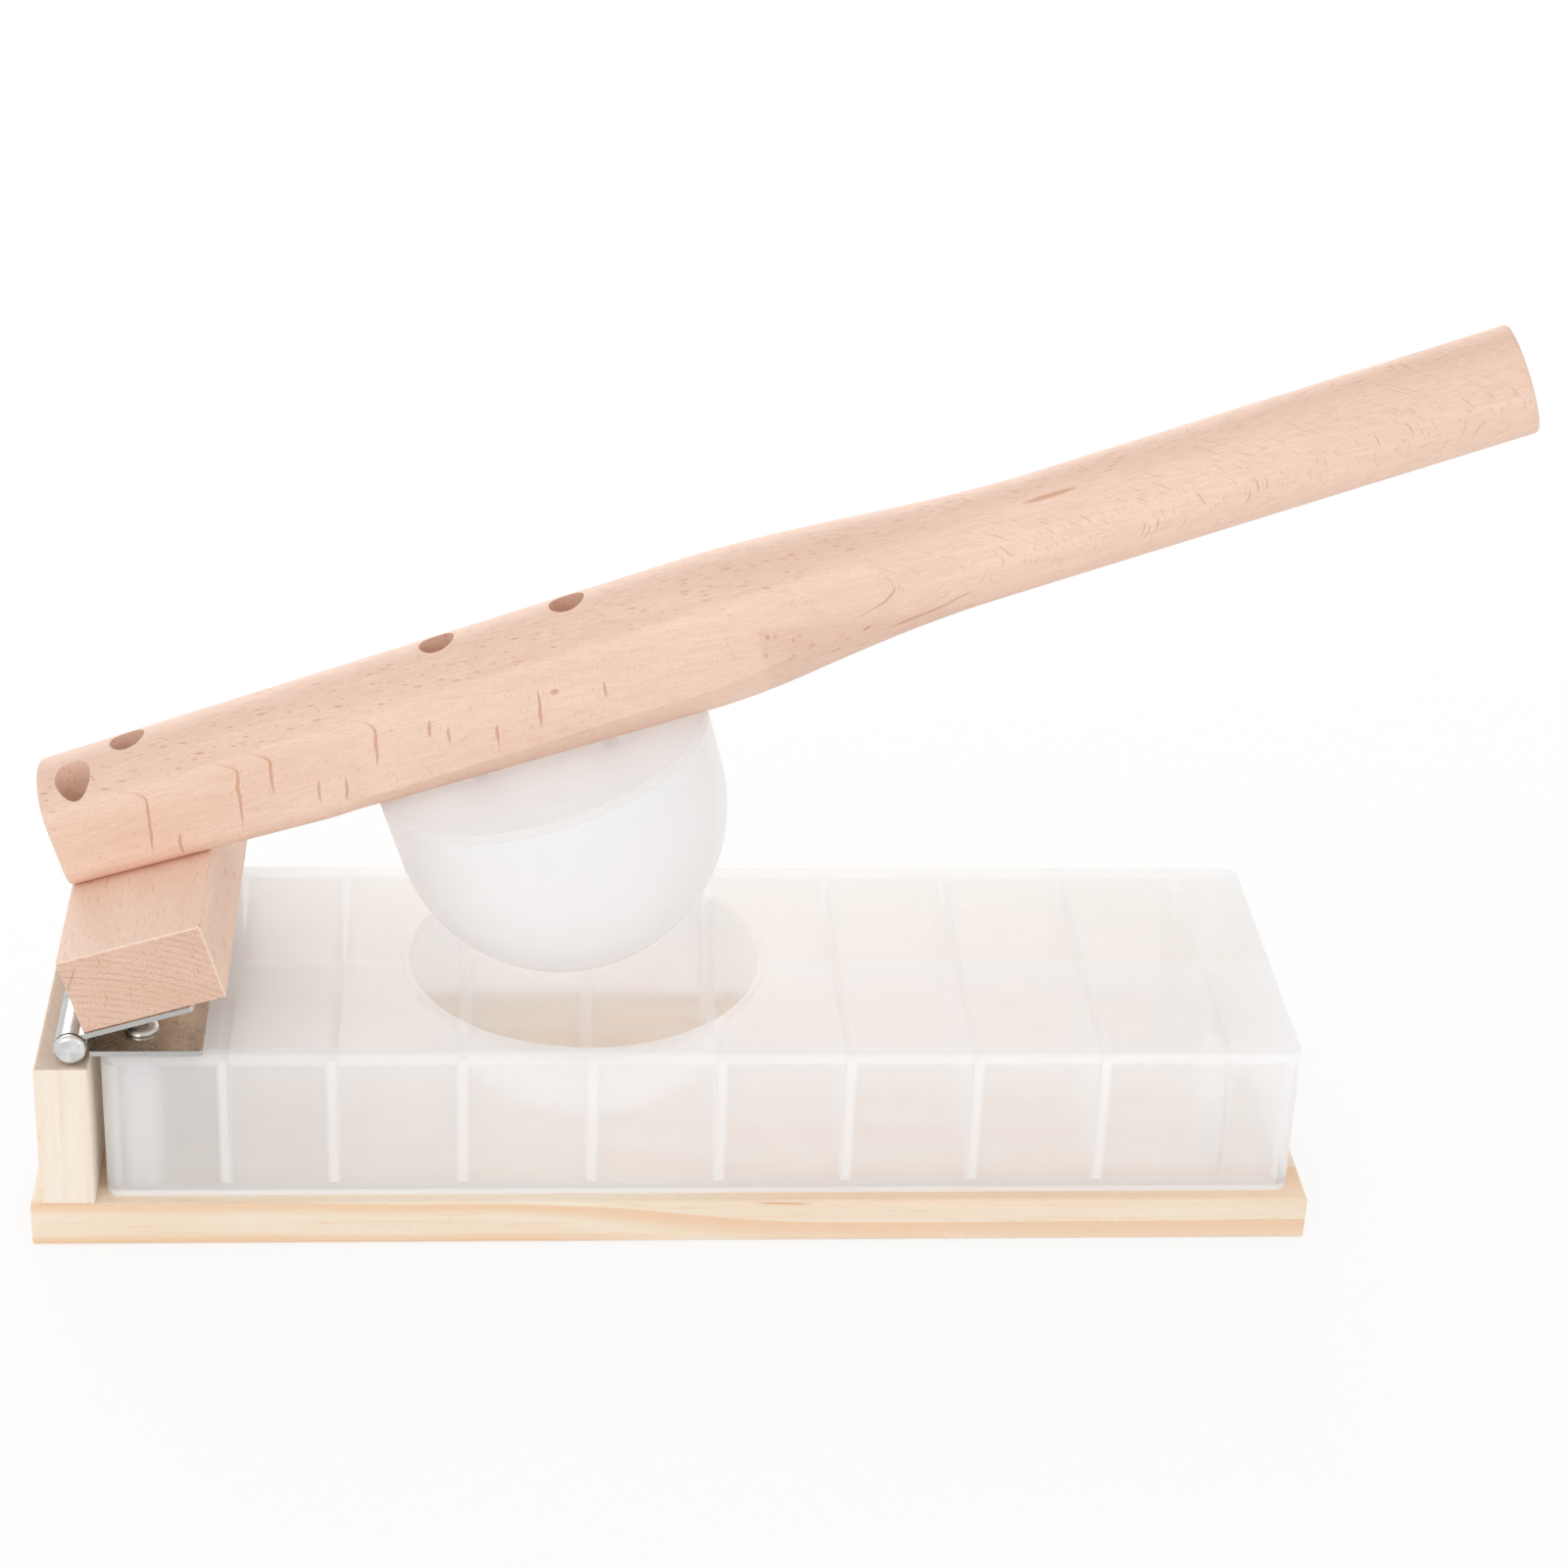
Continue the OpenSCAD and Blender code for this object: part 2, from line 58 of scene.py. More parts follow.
class Nodes:
    """A node tree under construction. Numbers, colours and sockets can all be plugged in."""

    def __init__(self, tree):
        self.tree = tree
        tree.nodes.clear()

    def add(self, kind, plugs=None, **settings):
        node = self.tree.nodes.new(kind)
        for key, value in settings.items():
            setattr(node, key, value)
        for key, value in (plugs or {}).items():
            if isinstance(value, bpy.types.NodeSocket):
                self.tree.links.new(value, node.inputs[key])
            else:
                node.inputs[key].default_value = value
        return node


class Finish(Nodes):
    """The nodes of a new material, or of the world."""

    def __init__(self, owner):
        owner.use_nodes = True
        super().__init__(owner.node_tree)
        self.owner = owner

    def calc(self, operation, *values):
        """The result of a sum such as ADD or SUBTRACT."""
        plugs = dict(enumerate(values))
        return self.add("ShaderNodeMath", plugs, operation=operation).outputs[0]

    def times(self, first, *others):
        """All these values multiplied."""
        for other in others:
            first = self.calc("MULTIPLY", first, other)
        return first

    def most(self, first, *others):
        """The largest of these values."""
        for other in others:
            first = self.calc("MAXIMUM", first, other)
        return first

    def apart(self, value, centre):
        """How far the value is from the centre, either way."""
        return self.calc("ABSOLUTE", self.calc("SUBTRACT", value, centre))

    def vector(self, operation, *values):
        """The result of a sum with vectors. LENGTH and DISTANCE give a number."""
        node = self.add("ShaderNodeVectorMath", dict(enumerate(values)), operation=operation)
        return node.outputs["Value" if operation in ("LENGTH", "DISTANCE") else "Vector"]

    def grade(self, value, low, high, out_low=0.0, out_high=1.0):
        """A smooth step from out_low to out_high, as value goes from low to high."""
        plugs = {0: value, 1: low, 2: high, 3: out_low, 4: out_high}
        return self.add("ShaderNodeMapRange", plugs, interpolation_type="SMOOTHSTEP").outputs[0]

    def mix(self, share, first, second, blend_type="MIX"):
        """From the first colour to the second, as share goes from 0 to 1."""
        plugs = {0: share, 6: first, 7: second}
        return self.add("ShaderNodeMix", plugs, data_type="RGBA", blend_type=blend_type).outputs[2]

    def split(self, where):
        """The x, y and z of a place."""
        return self.add("ShaderNodeSeparateXYZ", {0: where}).outputs

    def joined(self, x, y, z):
        """The place with this x, y and z."""
        return self.add("ShaderNodeCombineXYZ", {0: x, 1: y, 2: z}).outputs[0]

    def scaled(self, where, x, y, z):
        """Coordinates whose pattern is x, y and z long, in the units of where."""
        plugs = {"Vector": where, "Scale": (1 / x, 1 / y, 1 / z)}
        return self.add("ShaderNodeMapping", plugs).outputs[0]

    def cloud(self, where, detail=2.0, roughness=0.5):
        """Smooth noise from about 0.2 to 0.8, with a grain of one unit of where."""
        plugs = {"Vector": where, "Scale": 1.0, "Detail": detail, "Roughness": roughness}
        return self.add("ShaderNodeTexNoise", plugs).outputs[0]

    def flecks(self, where, long, share, spread=2.6):
        """Scattered marks that are long = (x, y, z) in size, in a share of the places for one."""
        placed = self.scaled(where, *(spread * size for size in long))
        plugs = {"Vector": placed, "Scale": 1.0, "Randomness": 1.0}
        cells = self.add("ShaderNodeTexVoronoi", plugs).outputs
        chance = self.add("ShaderNodeSeparateColor", {0: cells["Color"]}).outputs
        shape = self.grade(cells["Distance"], 0.13, 0.24, 1.0, 0.0)
        chosen = self.grade(chance[0], share, 0.6 * share, 0.0, 1.0)
        depth = self.grade(chance[1], 0.0, 1.0, 0.45, 1.0)
        return self.times(shape, chosen, depth)

    def spot(self, where, centre, size, turn=(0, 0, 0)):
        """One mark on its own: 1 within an oval with these half lengths, 0 outside it."""
        plugs = {"Vector": where, "Location": centre, "Rotation": turn, "Scale": size}
        local = self.add("ShaderNodeMapping", plugs, vector_type="TEXTURE").outputs[0]
        return self.grade(self.vector("LENGTH", local), 0.6, 1.0, 1.0, 0.0)

    def blend(self, share, first, second):
        """A surface that is partly the first and partly the second."""
        plugs = {0: share, 1: first.outputs[0], 2: second.outputs[0]}
        return self.add("ShaderNodeMixShader", plugs)

    def ended(self, surface, output="ShaderNodeOutputMaterial"):
        """The finished material or world, with this surface."""
        self.add(output, {"Surface": surface.outputs[0]})
        return self.owner


def millimetres(finish, turn=(0, 0, 0), origin=(0, 0, 0)):
    """The piece's own coordinates in mm, from this origin and along axes turned this far."""
    place = finish.add("ShaderNodeTexCoord").outputs["Object"]
    plugs = {"Vector": place, "Location": origin, "Rotation": turn}
    local = finish.add("ShaderNodeMapping", plugs, vector_type="TEXTURE").outputs[0]
    return finish.vector("MULTIPLY", local, (1 / MM, 1 / MM, 1 / MM))


def ring_distance(finish, where, heart, sway, sway_length):
    """Distance from the tree's heart, which runs along X and wanders a little."""
    plugs = {"Vector": finish.scaled(where, sway_length, 40, 40), "Scale": 1.0, "Detail": 1.5}
    drift = finish.add("ShaderNodeTexNoise", plugs).outputs["Color"]
    drift = finish.vector("SUBTRACT", drift, (0.5, 0.5, 0.5))
    shifted = finish.vector("ADD", where, finish.vector("MULTIPLY", drift, (sway, sway, sway)))
    centred = finish.vector("SUBTRACT", shifted, (0, *heart))
    return finish.vector("LENGTH", finish.vector("MULTIPLY", centred, (0, 1, 1)))


AMBER_PINE = (0.860, 0.600, 0.400, 1)
BROWN_FIBRE = (0.62, 0.42, 0.27, 1)
CUT_FIBRE = (0.42, 0.28, 0.18, 1)
RED_CRACK = (0.62, 0.30, 0.12, 1)


def pine(wood, where, distance, ring, tones, amber, early=0.45):
    """Planed pine: rings that are pale for their early share, deepen to amber and stop sharply."""
    phase = wood.calc("FRACT", wood.calc("DIVIDE", distance, ring))
    late = wood.times(wood.grade(phase, early, 0.92), wood.grade(phase, 0.955, 1.0, 1.0, 0.0))
    warm = wood.grade(wood.cloud(wood.scaled(where, 60, 9, 9), 3.0), 0.35, 0.65)
    colour = wood.mix(warm, *tones)
    streaks = wood.cloud(wood.scaled(where, 26, 1.5, 1.5), 3.0, 0.6)
    streaks = wood.grade(streaks, 0.50, 0.72, 0.0, 0.6 * amber)
    colour = wood.mix(wood.most(streaks, wood.times(late, amber)), colour, AMBER_PINE)
    fibre = wood.cloud(wood.scaled(where, 28, 0.5, 0.5), 4.0, 0.6)
    colour = wood.mix(wood.grade(fibre, 0.3, 0.7, 0.0, 0.10), colour, BROWN_FIBRE)
    resin = wood.times(wood.flecks(where, (2.2, 0.25, 0.25), 0.35), 0.35)
    return wood.mix(resin, colour, CUT_FIBRE), fibre


def timber(wood, colour, height, roughness):
    """Bare sanded wood, with its fibres a little raised."""
    plugs = {"Height": height, "Strength": 0.2, "Distance": 0.25 * MM}
    bump = wood.add("ShaderNodeBump", plugs).outputs[0]
    rough = wood.grade(height, 0.3, 0.7, roughness, roughness + 0.12)
    plugs = {"Base Color": colour, "Roughness": rough, "Normal": bump}
    return wood.ended(wood.add("ShaderNodeBsdfPrincipled", plugs))


def end_grain(wood, colour, fibre, along, start, end, soak):
    """Darkens the wood where it is cut across, from start to end along its grain."""
    cut = wood.grade(along, start, end)
    soaked = wood.mix(1.0, colour, soak, "MULTIPLY")
    pores = wood.times(wood.grade(fibre, 0.45, 0.66), 0.35)
    return wood.mix(cut, colour, wood.mix(pores, soaked, CUT_FIBRE))


def paint(piece, material):
    """Gives a piece one material on every slot."""
    piece.data.materials.clear()
    piece.data.materials.append(material)


BOARD_HEART, BOARD_RING, AMBER_BAND = (-65, -45), 11, 58.6


def board_pine():
    """One growth ring shows on the front as an amber band, which dips from the top edge on the
    left to half the height on the right, where the saw has torn it across."""
    wood = Finish(bpy.data.materials.new("board_pine"))
    where = millimetres(wood)
    along, _, high = wood.split(where)
    dip = wood.calc("SUBTRACT", wood.grade(along, -48, 40, 0.0, 6.4), AMBER_BAND - 8 * BOARD_RING)
    distance = wood.calc("ADD", ring_distance(wood, where, BOARD_HEART, 2.4, 70), dip)
    early = wood.grade(along, -60, 10, 0.62, 0.22)
    tones = (0.900, 0.790, 0.650, 1), (0.880, 0.740, 0.580, 1)
    colour, fibre = pine(wood, where, distance, BOARD_RING, tones, 0.95, early)
    low_band = wood.grade(high, 2.2, 3.6, 0.75, 0.0)
    low_band = wood.times(low_band, wood.grade(along, -40, 10, 1.0, 0.0))
    colour = wood.mix(low_band, colour, AMBER_PINE)
    torn = wood.flecks(where, (1.5, 5.0, 3.2), 0.55)
    torn = wood.times(torn, wood.grade(along, 20, 60, 0.0, 0.6))
    colour = wood.mix(torn, colour, tones[0])
    crack = wood.spot(where, (29, -57, 12.3), (9, 2.5, 0.35), (0, 0.02, 0))
    colour = wood.mix(wood.times(crack, 0.6), colour, RED_CRACK)
    return timber(wood, colour, fibre, 0.58)


base_board = frame["nodes"]["base_board"]
paint(base_board, board_pine())

# ------------------------------------------------------------------ hinge post
# A short pine board that stands on end under the hinge pin, with its grain upright and its
# darker end grain on top. Two screws hold it from under the base board.
POST_HEART, POST_RING = (70, -20), 4.5


def post_pine(top):
    wood = Finish(bpy.data.materials.new("post_pine"))
    where = millimetres(wood, turn=(0, math.radians(-90), 0))
    tones = (0.910, 0.830, 0.720, 1), (0.890, 0.800, 0.680, 1)
    distance = ring_distance(wood, where, POST_HEART, 8, 150)
    colour, fibre = pine(wood, where, distance, POST_RING, tones, 0.22)
    up, soak = wood.split(where)["X"], (0.74, 0.65, 0.61, 1)
    colour = end_grain(wood, colour, fibre, up, top - 0.5, top - 0.1, soak)
    return timber(wood, colour, fibre, 0.6)


hinge_post = frame["nodes"]["hinge_post"]
paint(hinge_post, post_pine(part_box("hinge_post")[1].z / MM))

# ------------------------------------------------------------------- mould box
# One milky polypropylene moulding, open underneath: a deck on four walls, stiffened by ribs,
# with a round hollow that the dough is pressed into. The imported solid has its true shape.
RIB_FIRST, RIB_SECOND, RIB_STEP = -122.5, -93.5, 34.9
BEFORE_SECOND, BEFORE_LAST = -100.0, 135
BOX_FOOT, DECK_UNDERSIDE, WALL_INSIDE = 13, 55.2, 49.9
POST_BY_WALL, BOX_MIDDLE, BOX_HALF_LENGTH = -144.5, 7.5, 162.5
BOWL_MIDDLE, BOWL_OUTSIDE = (-24.9, 0, 65), 51.2


def over_ribs(milky, along, near, far):
    """1 within near mm of the middle of a cross rib, and 0 beyond far mm. The first rib is out
    of step with the others, and the last one shows less."""
    cell = milky.calc("ADD", along, RIB_STEP / 2 - RIB_SECOND)
    past = milky.apart(milky.calc("FLOORED_MODULO", cell, RIB_STEP), RIB_STEP / 2)
    left = milky.calc("LESS_THAN", along, BEFORE_SECOND)
    past = milky.calc("ADD", past, milky.times(left, 100.0))
    last = milky.calc("GREATER_THAN", along, BEFORE_LAST)
    past = milky.calc("ADD", past, milky.times(last, 1.5))
    nearest = milky.calc("MINIMUM", past, milky.apart(along, RIB_FIRST))
    return milky.grade(nearest, near, far, 1.0, 0.0)


def painted_deck_light(milky, where, shade):
    """Painted light, creamy over the deck's rear cells, and painted shade, greyer over its ribs."""
    along, across, high = milky.split(where)
    deck = milky.grade(high, DECK_UNDERSIDE + 1, DECK_UNDERSIDE + 2)
    rear = milky.grade(across, -3.6, -2.4)
    rear = milky.times(deck, rear, milky.grade(across, 30, 50, 1.0, 0.3))
    # Painted light: the rear cells a little creamier and lighter, as if lit through from behind.
    shade = milky.mix(rear, shade, (0.995, 0.980, 0.940, 1), "MULTIPLY")
    # Painted shade: the ribs under the rear cells a little greyer.
    painted_rib_shade = milky.times(rear, over_ribs(milky, along, 2.0, 4.0))
    return milky.mix(painted_rib_shade, shade, (0.970, 0.970, 0.970, 1))


def thick_places(milky, where):
    """1 where the moulding is thick and clouded: over its ribs, along its top edge, in its end
    corners, by the screw posts and at its foot. It is clearer round the hollow."""
    along, across, high = milky.split(where)
    rib = milky.times(over_ribs(milky, along, 0.7, 2.2), milky.grade(high, 16.6, 17.4, 0.0, 0.9),
                      milky.grade(high, DECK_UNDERSIDE, DECK_UNDERSIDE + 2, 1.0, 0.15))
    sideways = milky.calc("ABSOLUTE", across)
    wall = milky.grade(sideways, WALL_INSIDE - 0.6, WALL_INSIDE + 0.4)
    edge = milky.times(wall, milky.grade(high, DECK_UNDERSIDE - 1.6, DECK_UNDERSIDE, 0.0, 0.5))
    post = milky.times(milky.grade(milky.apart(along, POST_BY_WALL), 2.0, 6.5, 0.6, 0.0), wall)
    from_middle = milky.apart(along, BOX_MIDDLE)
    corner = milky.grade(from_middle, BOX_HALF_LENGTH - 6.0, BOX_HALF_LENGTH - 2.5, 0.0, 0.8)
    corner = milky.times(corner, milky.grade(high, 54.0, 55.5, 1.0, 0.0))
    foot = milky.grade(high, BOX_FOOT + 1.0, BOX_FOOT + 5.0, 1.0, 0.0)
    from_bowl = milky.vector("DISTANCE", where, BOWL_MIDDLE)
    bowl = milky.grade(from_bowl, BOWL_OUTSIDE + 0.2, BOWL_OUTSIDE + 1.0, -0.25, 0.0)
    return milky.calc("ADD", milky.most(rib, edge, post, corner, foot), bowl)


def milky_finish(name, tint, clear, glow, roughness, thick=None, painted_light=None):
    """Milky plastic: a white body, partly clear, with some light soaking through it. Less of
    both shows in the places that are thick."""
    milky = Finish(bpy.data.materials.new(name))
    where = millimetres(milky)
    haze = milky.cloud(milky.scaled(where, 22, 22, 22), 3.0)
    darker = (*(0.99 * c for c in tint[:3]), 1)
    shade = milky.mix(milky.grade(haze, 0.3, 0.7), tint, darker)
    # Painted light and shade of what shows through the plastic, where it is given.
    if painted_light:
        shade = painted_light(milky, where, shade)
    fine = milky.cloud(milky.scaled(where, 1.1, 1.1, 1.1), 3.0)
    dent = milky.add("ShaderNodeBump", {"Height": fine, "Strength": 0.04, "Distance": 0.2 * MM})
    rough = milky.grade(haze, 0.3, 0.7, roughness, roughness + 0.08)
    body = milky.add("ShaderNodeBsdfPrincipled", {
        "Base Color": shade, "Roughness": rough, "IOR": 1.49, "Normal": dent.outputs[0],
    })
    soak = milky.add("ShaderNodeBsdfTranslucent", {"Color": shade})
    see = milky.grade(haze, 0.3, 0.7, clear, 0.92 * clear)
    if thick:
        clouded = thick(milky, where)
        see = milky.times(see, milky.calc("MULTIPLY_ADD", clouded, -0.85, 1.0))
        glow = milky.grade(clouded, 0.85, 1.0, glow, 0.2 * glow)
    gap = milky.add("ShaderNodeBsdfTransparent", {"Color": (1, 1, 1, 1)})
    return milky.ended(milky.blend(see, milky.blend(glow, body, soak), gap))


mould_box = frame["nodes"]["mould_box"]
box_plastic = milky_finish("box_plastic", (0.989, 0.991, 0.996, 1), 0.48, 0.45, 0.32,
                           thick_places, painted_deck_light)
paint(mould_box, box_plastic)

# ------------------------------------------------------------- lever and handle
# The handle is one beech board, 30 mm thick: a bar with a crowned top that is worked down
# to a round grip, sanded and left without varnish. Four counterbores hide its screws.
hinge = frame["joints"][0]
HINGE_PIN = Vector(hinge["pos_m"])
REST_TILT = math.radians(-min(hinge["range_deg"]))
LEVER_TURN = (0, -REST_TILT, 0)
LEVER = Matrix.Translation(HINGE_PIN) @ Matrix.Rotation(-REST_TILT, 4, "Y")
BLOCK_GAP = 4.6
UNDERSIDE = 25.2
HANDLE_LENGTH, HANDLE_HALF_WIDTH, BAR_HEIGHT, CROWN = 411, 15, 32, 13
GRIP_RADIUS, GRIP_MIDDLE, NECK_DROP = 14.8, 11, 6.2
RISE = math.tan(math.radians(3))
TOP_SHOULDER, UNDER_SHOULDER = (185, 280), (180, 260)
END_ROUND, EDGE_ROUND = 1.2, 5.5
FACET_RUN, FACET_GROWTH, FACET_ROUND = (72, 92), 0.055, 0.1
BLOCK_BORE_FLOOR, DOME_BORE_FLOOR = 16.5, 18
COUNTERBORES = [(10.5, -8.5, BLOCK_BORE_FLOOR), (26, 0, BLOCK_BORE_FLOOR),
                (114.25, 0, DOME_BORE_FLOOR), (150.95, 0, DOME_BORE_FLOOR)]
BORE_RADIUS, SCREW_HOLE_RADIUS = 5, 2.2


def smooth(value, start, end):
    t = min(max((value - start) / (end - start), 0), 1)
    return t * t * (3 - 2 * t)


def between(first, second, share):
    return first + (second - first) * share


def handle_ring(x, crown_steps=40, corner_steps=12):
    """Points round the handle, x mm from its hinge end. A crown stands on flat sides. The lower
    corners are rounded first, then turn into a widening facet, and at last into the round grip."""
    over = max(0, END_ROUND - x, END_ROUND - (HANDLE_LENGTH - x))
    inset = END_ROUND - math.sqrt(max(END_ROUND**2 - over**2, 0))
    necked, rounded = smooth(x, *TOP_SHOULDER), smooth(x, *UNDER_SHOULDER)
    middle = GRIP_MIDDLE + RISE * x
    top = BAR_HEIGHT + RISE * x - NECK_DROP * necked - inset
    foot = rounded * (middle - GRIP_RADIUS) + inset
    half = between(HANDLE_HALF_WIDTH, GRIP_RADIUS, necked) - inset
    crown = between(CROWN, GRIP_RADIUS, necked) - inset
    facet = EDGE_ROUND + FACET_GROWTH * max(0, x - FACET_RUN[1])
    corner = min(between(facet, GRIP_RADIUS, rounded) - inset, half - 0.3)
    bow = between(between(1, FACET_ROUND, smooth(x, *FACET_RUN)), 1, rounded)
    points = []
    for i in range(crown_steps + 1):
        angle = math.pi * i / crown_steps
        points.append((half * math.cos(angle), top - crown + crown * math.sin(angle)))
    for side, order in ((-1, range(corner_steps + 1)), (1, range(corner_steps, -1, -1))):
        for i in order:
            t = i / corner_steps
            out = between(1 - t, math.cos(t * math.pi / 2), bow)
            up = 1 - between(t, math.sin(t * math.pi / 2), bow)
            points.append((side * (half - corner + corner * out), foot + corner * up))
    lean = RISE * necked
    return [(x - lean * (z - middle), y, z) for y, z in points]


def add_object(name, data):
    """A new object in the scene, at the origin."""
    made = bpy.data.objects.new(name, data)
    bpy.context.scene.collection.objects.link(made)
    return made


def soften(mesh):
    """Smooth shading, except across real edges."""
    for polygon in mesh.polygons:
        polygon.use_smooth = True
    mesh.set_sharp_from_angle(angle=math.radians(32))


def piece_from(mesh, name):
    soften(mesh)
    return add_object(name, mesh)


def mesh_from(points, faces, name):
    """A mesh from points in mm, with its faces turned outwards."""
    form = bmesh.new()
    for point in points:
        form.verts.new([MM * c for c in point])
    form.verts.ensure_lookup_table()
    for face in faces:
        form.faces.new([form.verts[i] for i in face])
    bmesh.ops.recalc_face_normals(form, faces=form.faces)
    mesh = bpy.data.meshes.new(name)
    form.to_mesh(mesh)
    form.free()
    return mesh


def skin(rings, name):
    """A closed mesh over rings of points, with both ends capped."""
    n = len(rings[0])
    faces = [tuple(range(n)), tuple(range((len(rings) - 1) * n, len(rings) * n))]
    for r in range(len(rings) - 1):
        for i in range(n):
            j = (i + 1) % n
            faces.append((r * n + i, r * n + j, (r + 1) * n + j, (r + 1) * n + i))
    return mesh_from([p for ring in rings for p in ring], faces, name)


def circle(radius, height, segments, centre=(0, 0, 0)):
    """Points round an upright axis."""
    x, y, z = centre
    turns = [2 * math.pi * k / segments for k in range(segments)]
    return [(x + radius * math.cos(a), y + radius * math.sin(a), z + height) for a in turns]


def turned(profile, name, segments=48, centre=(0, 0, 0)):
    """A solid of revolution about Z. The profile's (radius, height) points run pole to pole."""
    points, faces, rows = [], [], []
    for radius, height in profile:
        if radius < 1e-6:
            rows.append([len(points)] * segments)
            points.append((centre[0], centre[1], centre[2] + height))
        else:
            rows.append([len(points) + k for k in range(segments)])
            points += circle(radius, height, segments, centre)
    for low, high in zip(rows, rows[1:]):
        for k in range(segments):
            j = (k + 1) % segments
            corners = list(dict.fromkeys((low[k], low[j], high[j], high[k])))
            if len(corners) > 2:
                faces.append(corners)
    return mesh_from(points, faces, name)


def settle(piece):
    """Turns a piece's modifiers into plain mesh."""
    graph = bpy.context.evaluated_depsgraph_get()
    mesh = bpy.data.meshes.new_from_object(piece.evaluated_get(graph), depsgraph=graph)
    piece.modifiers.clear()
    piece.data = mesh
    soften(mesh)


def carve(piece, tools, operation="DIFFERENCE"):
    """Cuts or joins other meshes to a piece, and leaves it a plain mesh."""
    cutters = [add_object("tool", tool) for tool in tools]
    for cutter in cutters:
        cut = piece.modifiers.new("cut", "BOOLEAN")
        cut.operation, cut.solver, cut.object = operation, "EXACT", cutter
    settle(piece)
    for cutter in cutters:
        bpy.data.objects.remove(cutter)


FLECK_BEECH = (0.560, 0.250, 0.125, 1)
BEECH_FIBRE = (0.62, 0.38, 0.26, 1)


def beech(wood, where, heart, tones):
    """Sanded beech: pink and even, with faint rings and a fine short fibre."""
    distance = ring_distance(wood, where, heart, 10, 120)
    phase = wood.calc("FRACT", wood.calc("DIVIDE", distance, 5.5))
    ring = wood.times(wood.grade(phase, 0.3, 0.95), wood.grade(phase, 0.95, 1.0, 1.0, 0.0))
    warm = wood.cloud(wood.scaled(where, 70, 12, 12), 3.0)
    colour = wood.mix(wood.grade(warm, 0.3, 0.7, 0.0, 0.7), *tones)
    colour = wood.mix(wood.times(ring, 0.25), colour, tones[1])
    fibre = wood.cloud(wood.scaled(where, 6, 0.45, 0.45), 4.0, 0.7)
    colour = wood.mix(wood.grade(fibre, 0.35, 0.7, 0.0, 0.30), colour, BEECH_FIBRE)
    pores = wood.cloud(wood.scaled(where, 1.3, 0.22, 0.22), 2.0, 0.6)
    pores = wood.grade(pores, 0.56, 0.74, 0.0, 0.30)
    return wood.mix(pores, colour, FLECK_BEECH), fibre


# Where the wood's rays surface on the front of the bar: mm along the lever, and from and to
# which height above the hinge pin.
RAY_STROKES = [
    (32.0, 30.5, 50.5), (57.6, 31, 51.8), (67.6, 38, 51.5), (78.4, 32.6, 39.4), (85.4, 31.2, 38),
    (38.0, 27.6, 34.4), (97.2, 38.6, 53.2), (116.5, 39.8, 44.8), (141.8, 37.6, 49),
    (129, 36, 42), (160, 41.6, 46.4), (240.5, 45.5, 52), (112, 43, 48),
]
# Torn grain under the neck, as mm along, height and half length, and single marks with their
# places and half lengths: a speck by the rays, and a long streak on top of the grip.
NECK_TEARS = [(243, 40.3, 7), (250, 41.4, 11), (258, 43.6, 7)]
SPECK, GRIP_STREAK = ((147, -14.6, 47), (1.5, 2, 1.0)), ((287, -8.5, 63), (9, 0.7, 5))
MARK_DEPTH = 0.6
# The height at which the crown begins, where the handle's slope is traced back to the pin.
SHOULDER_LEVEL = UNDERSIDE + BAR_HEIGHT - CROWN - RISE * BLOCK_GAP


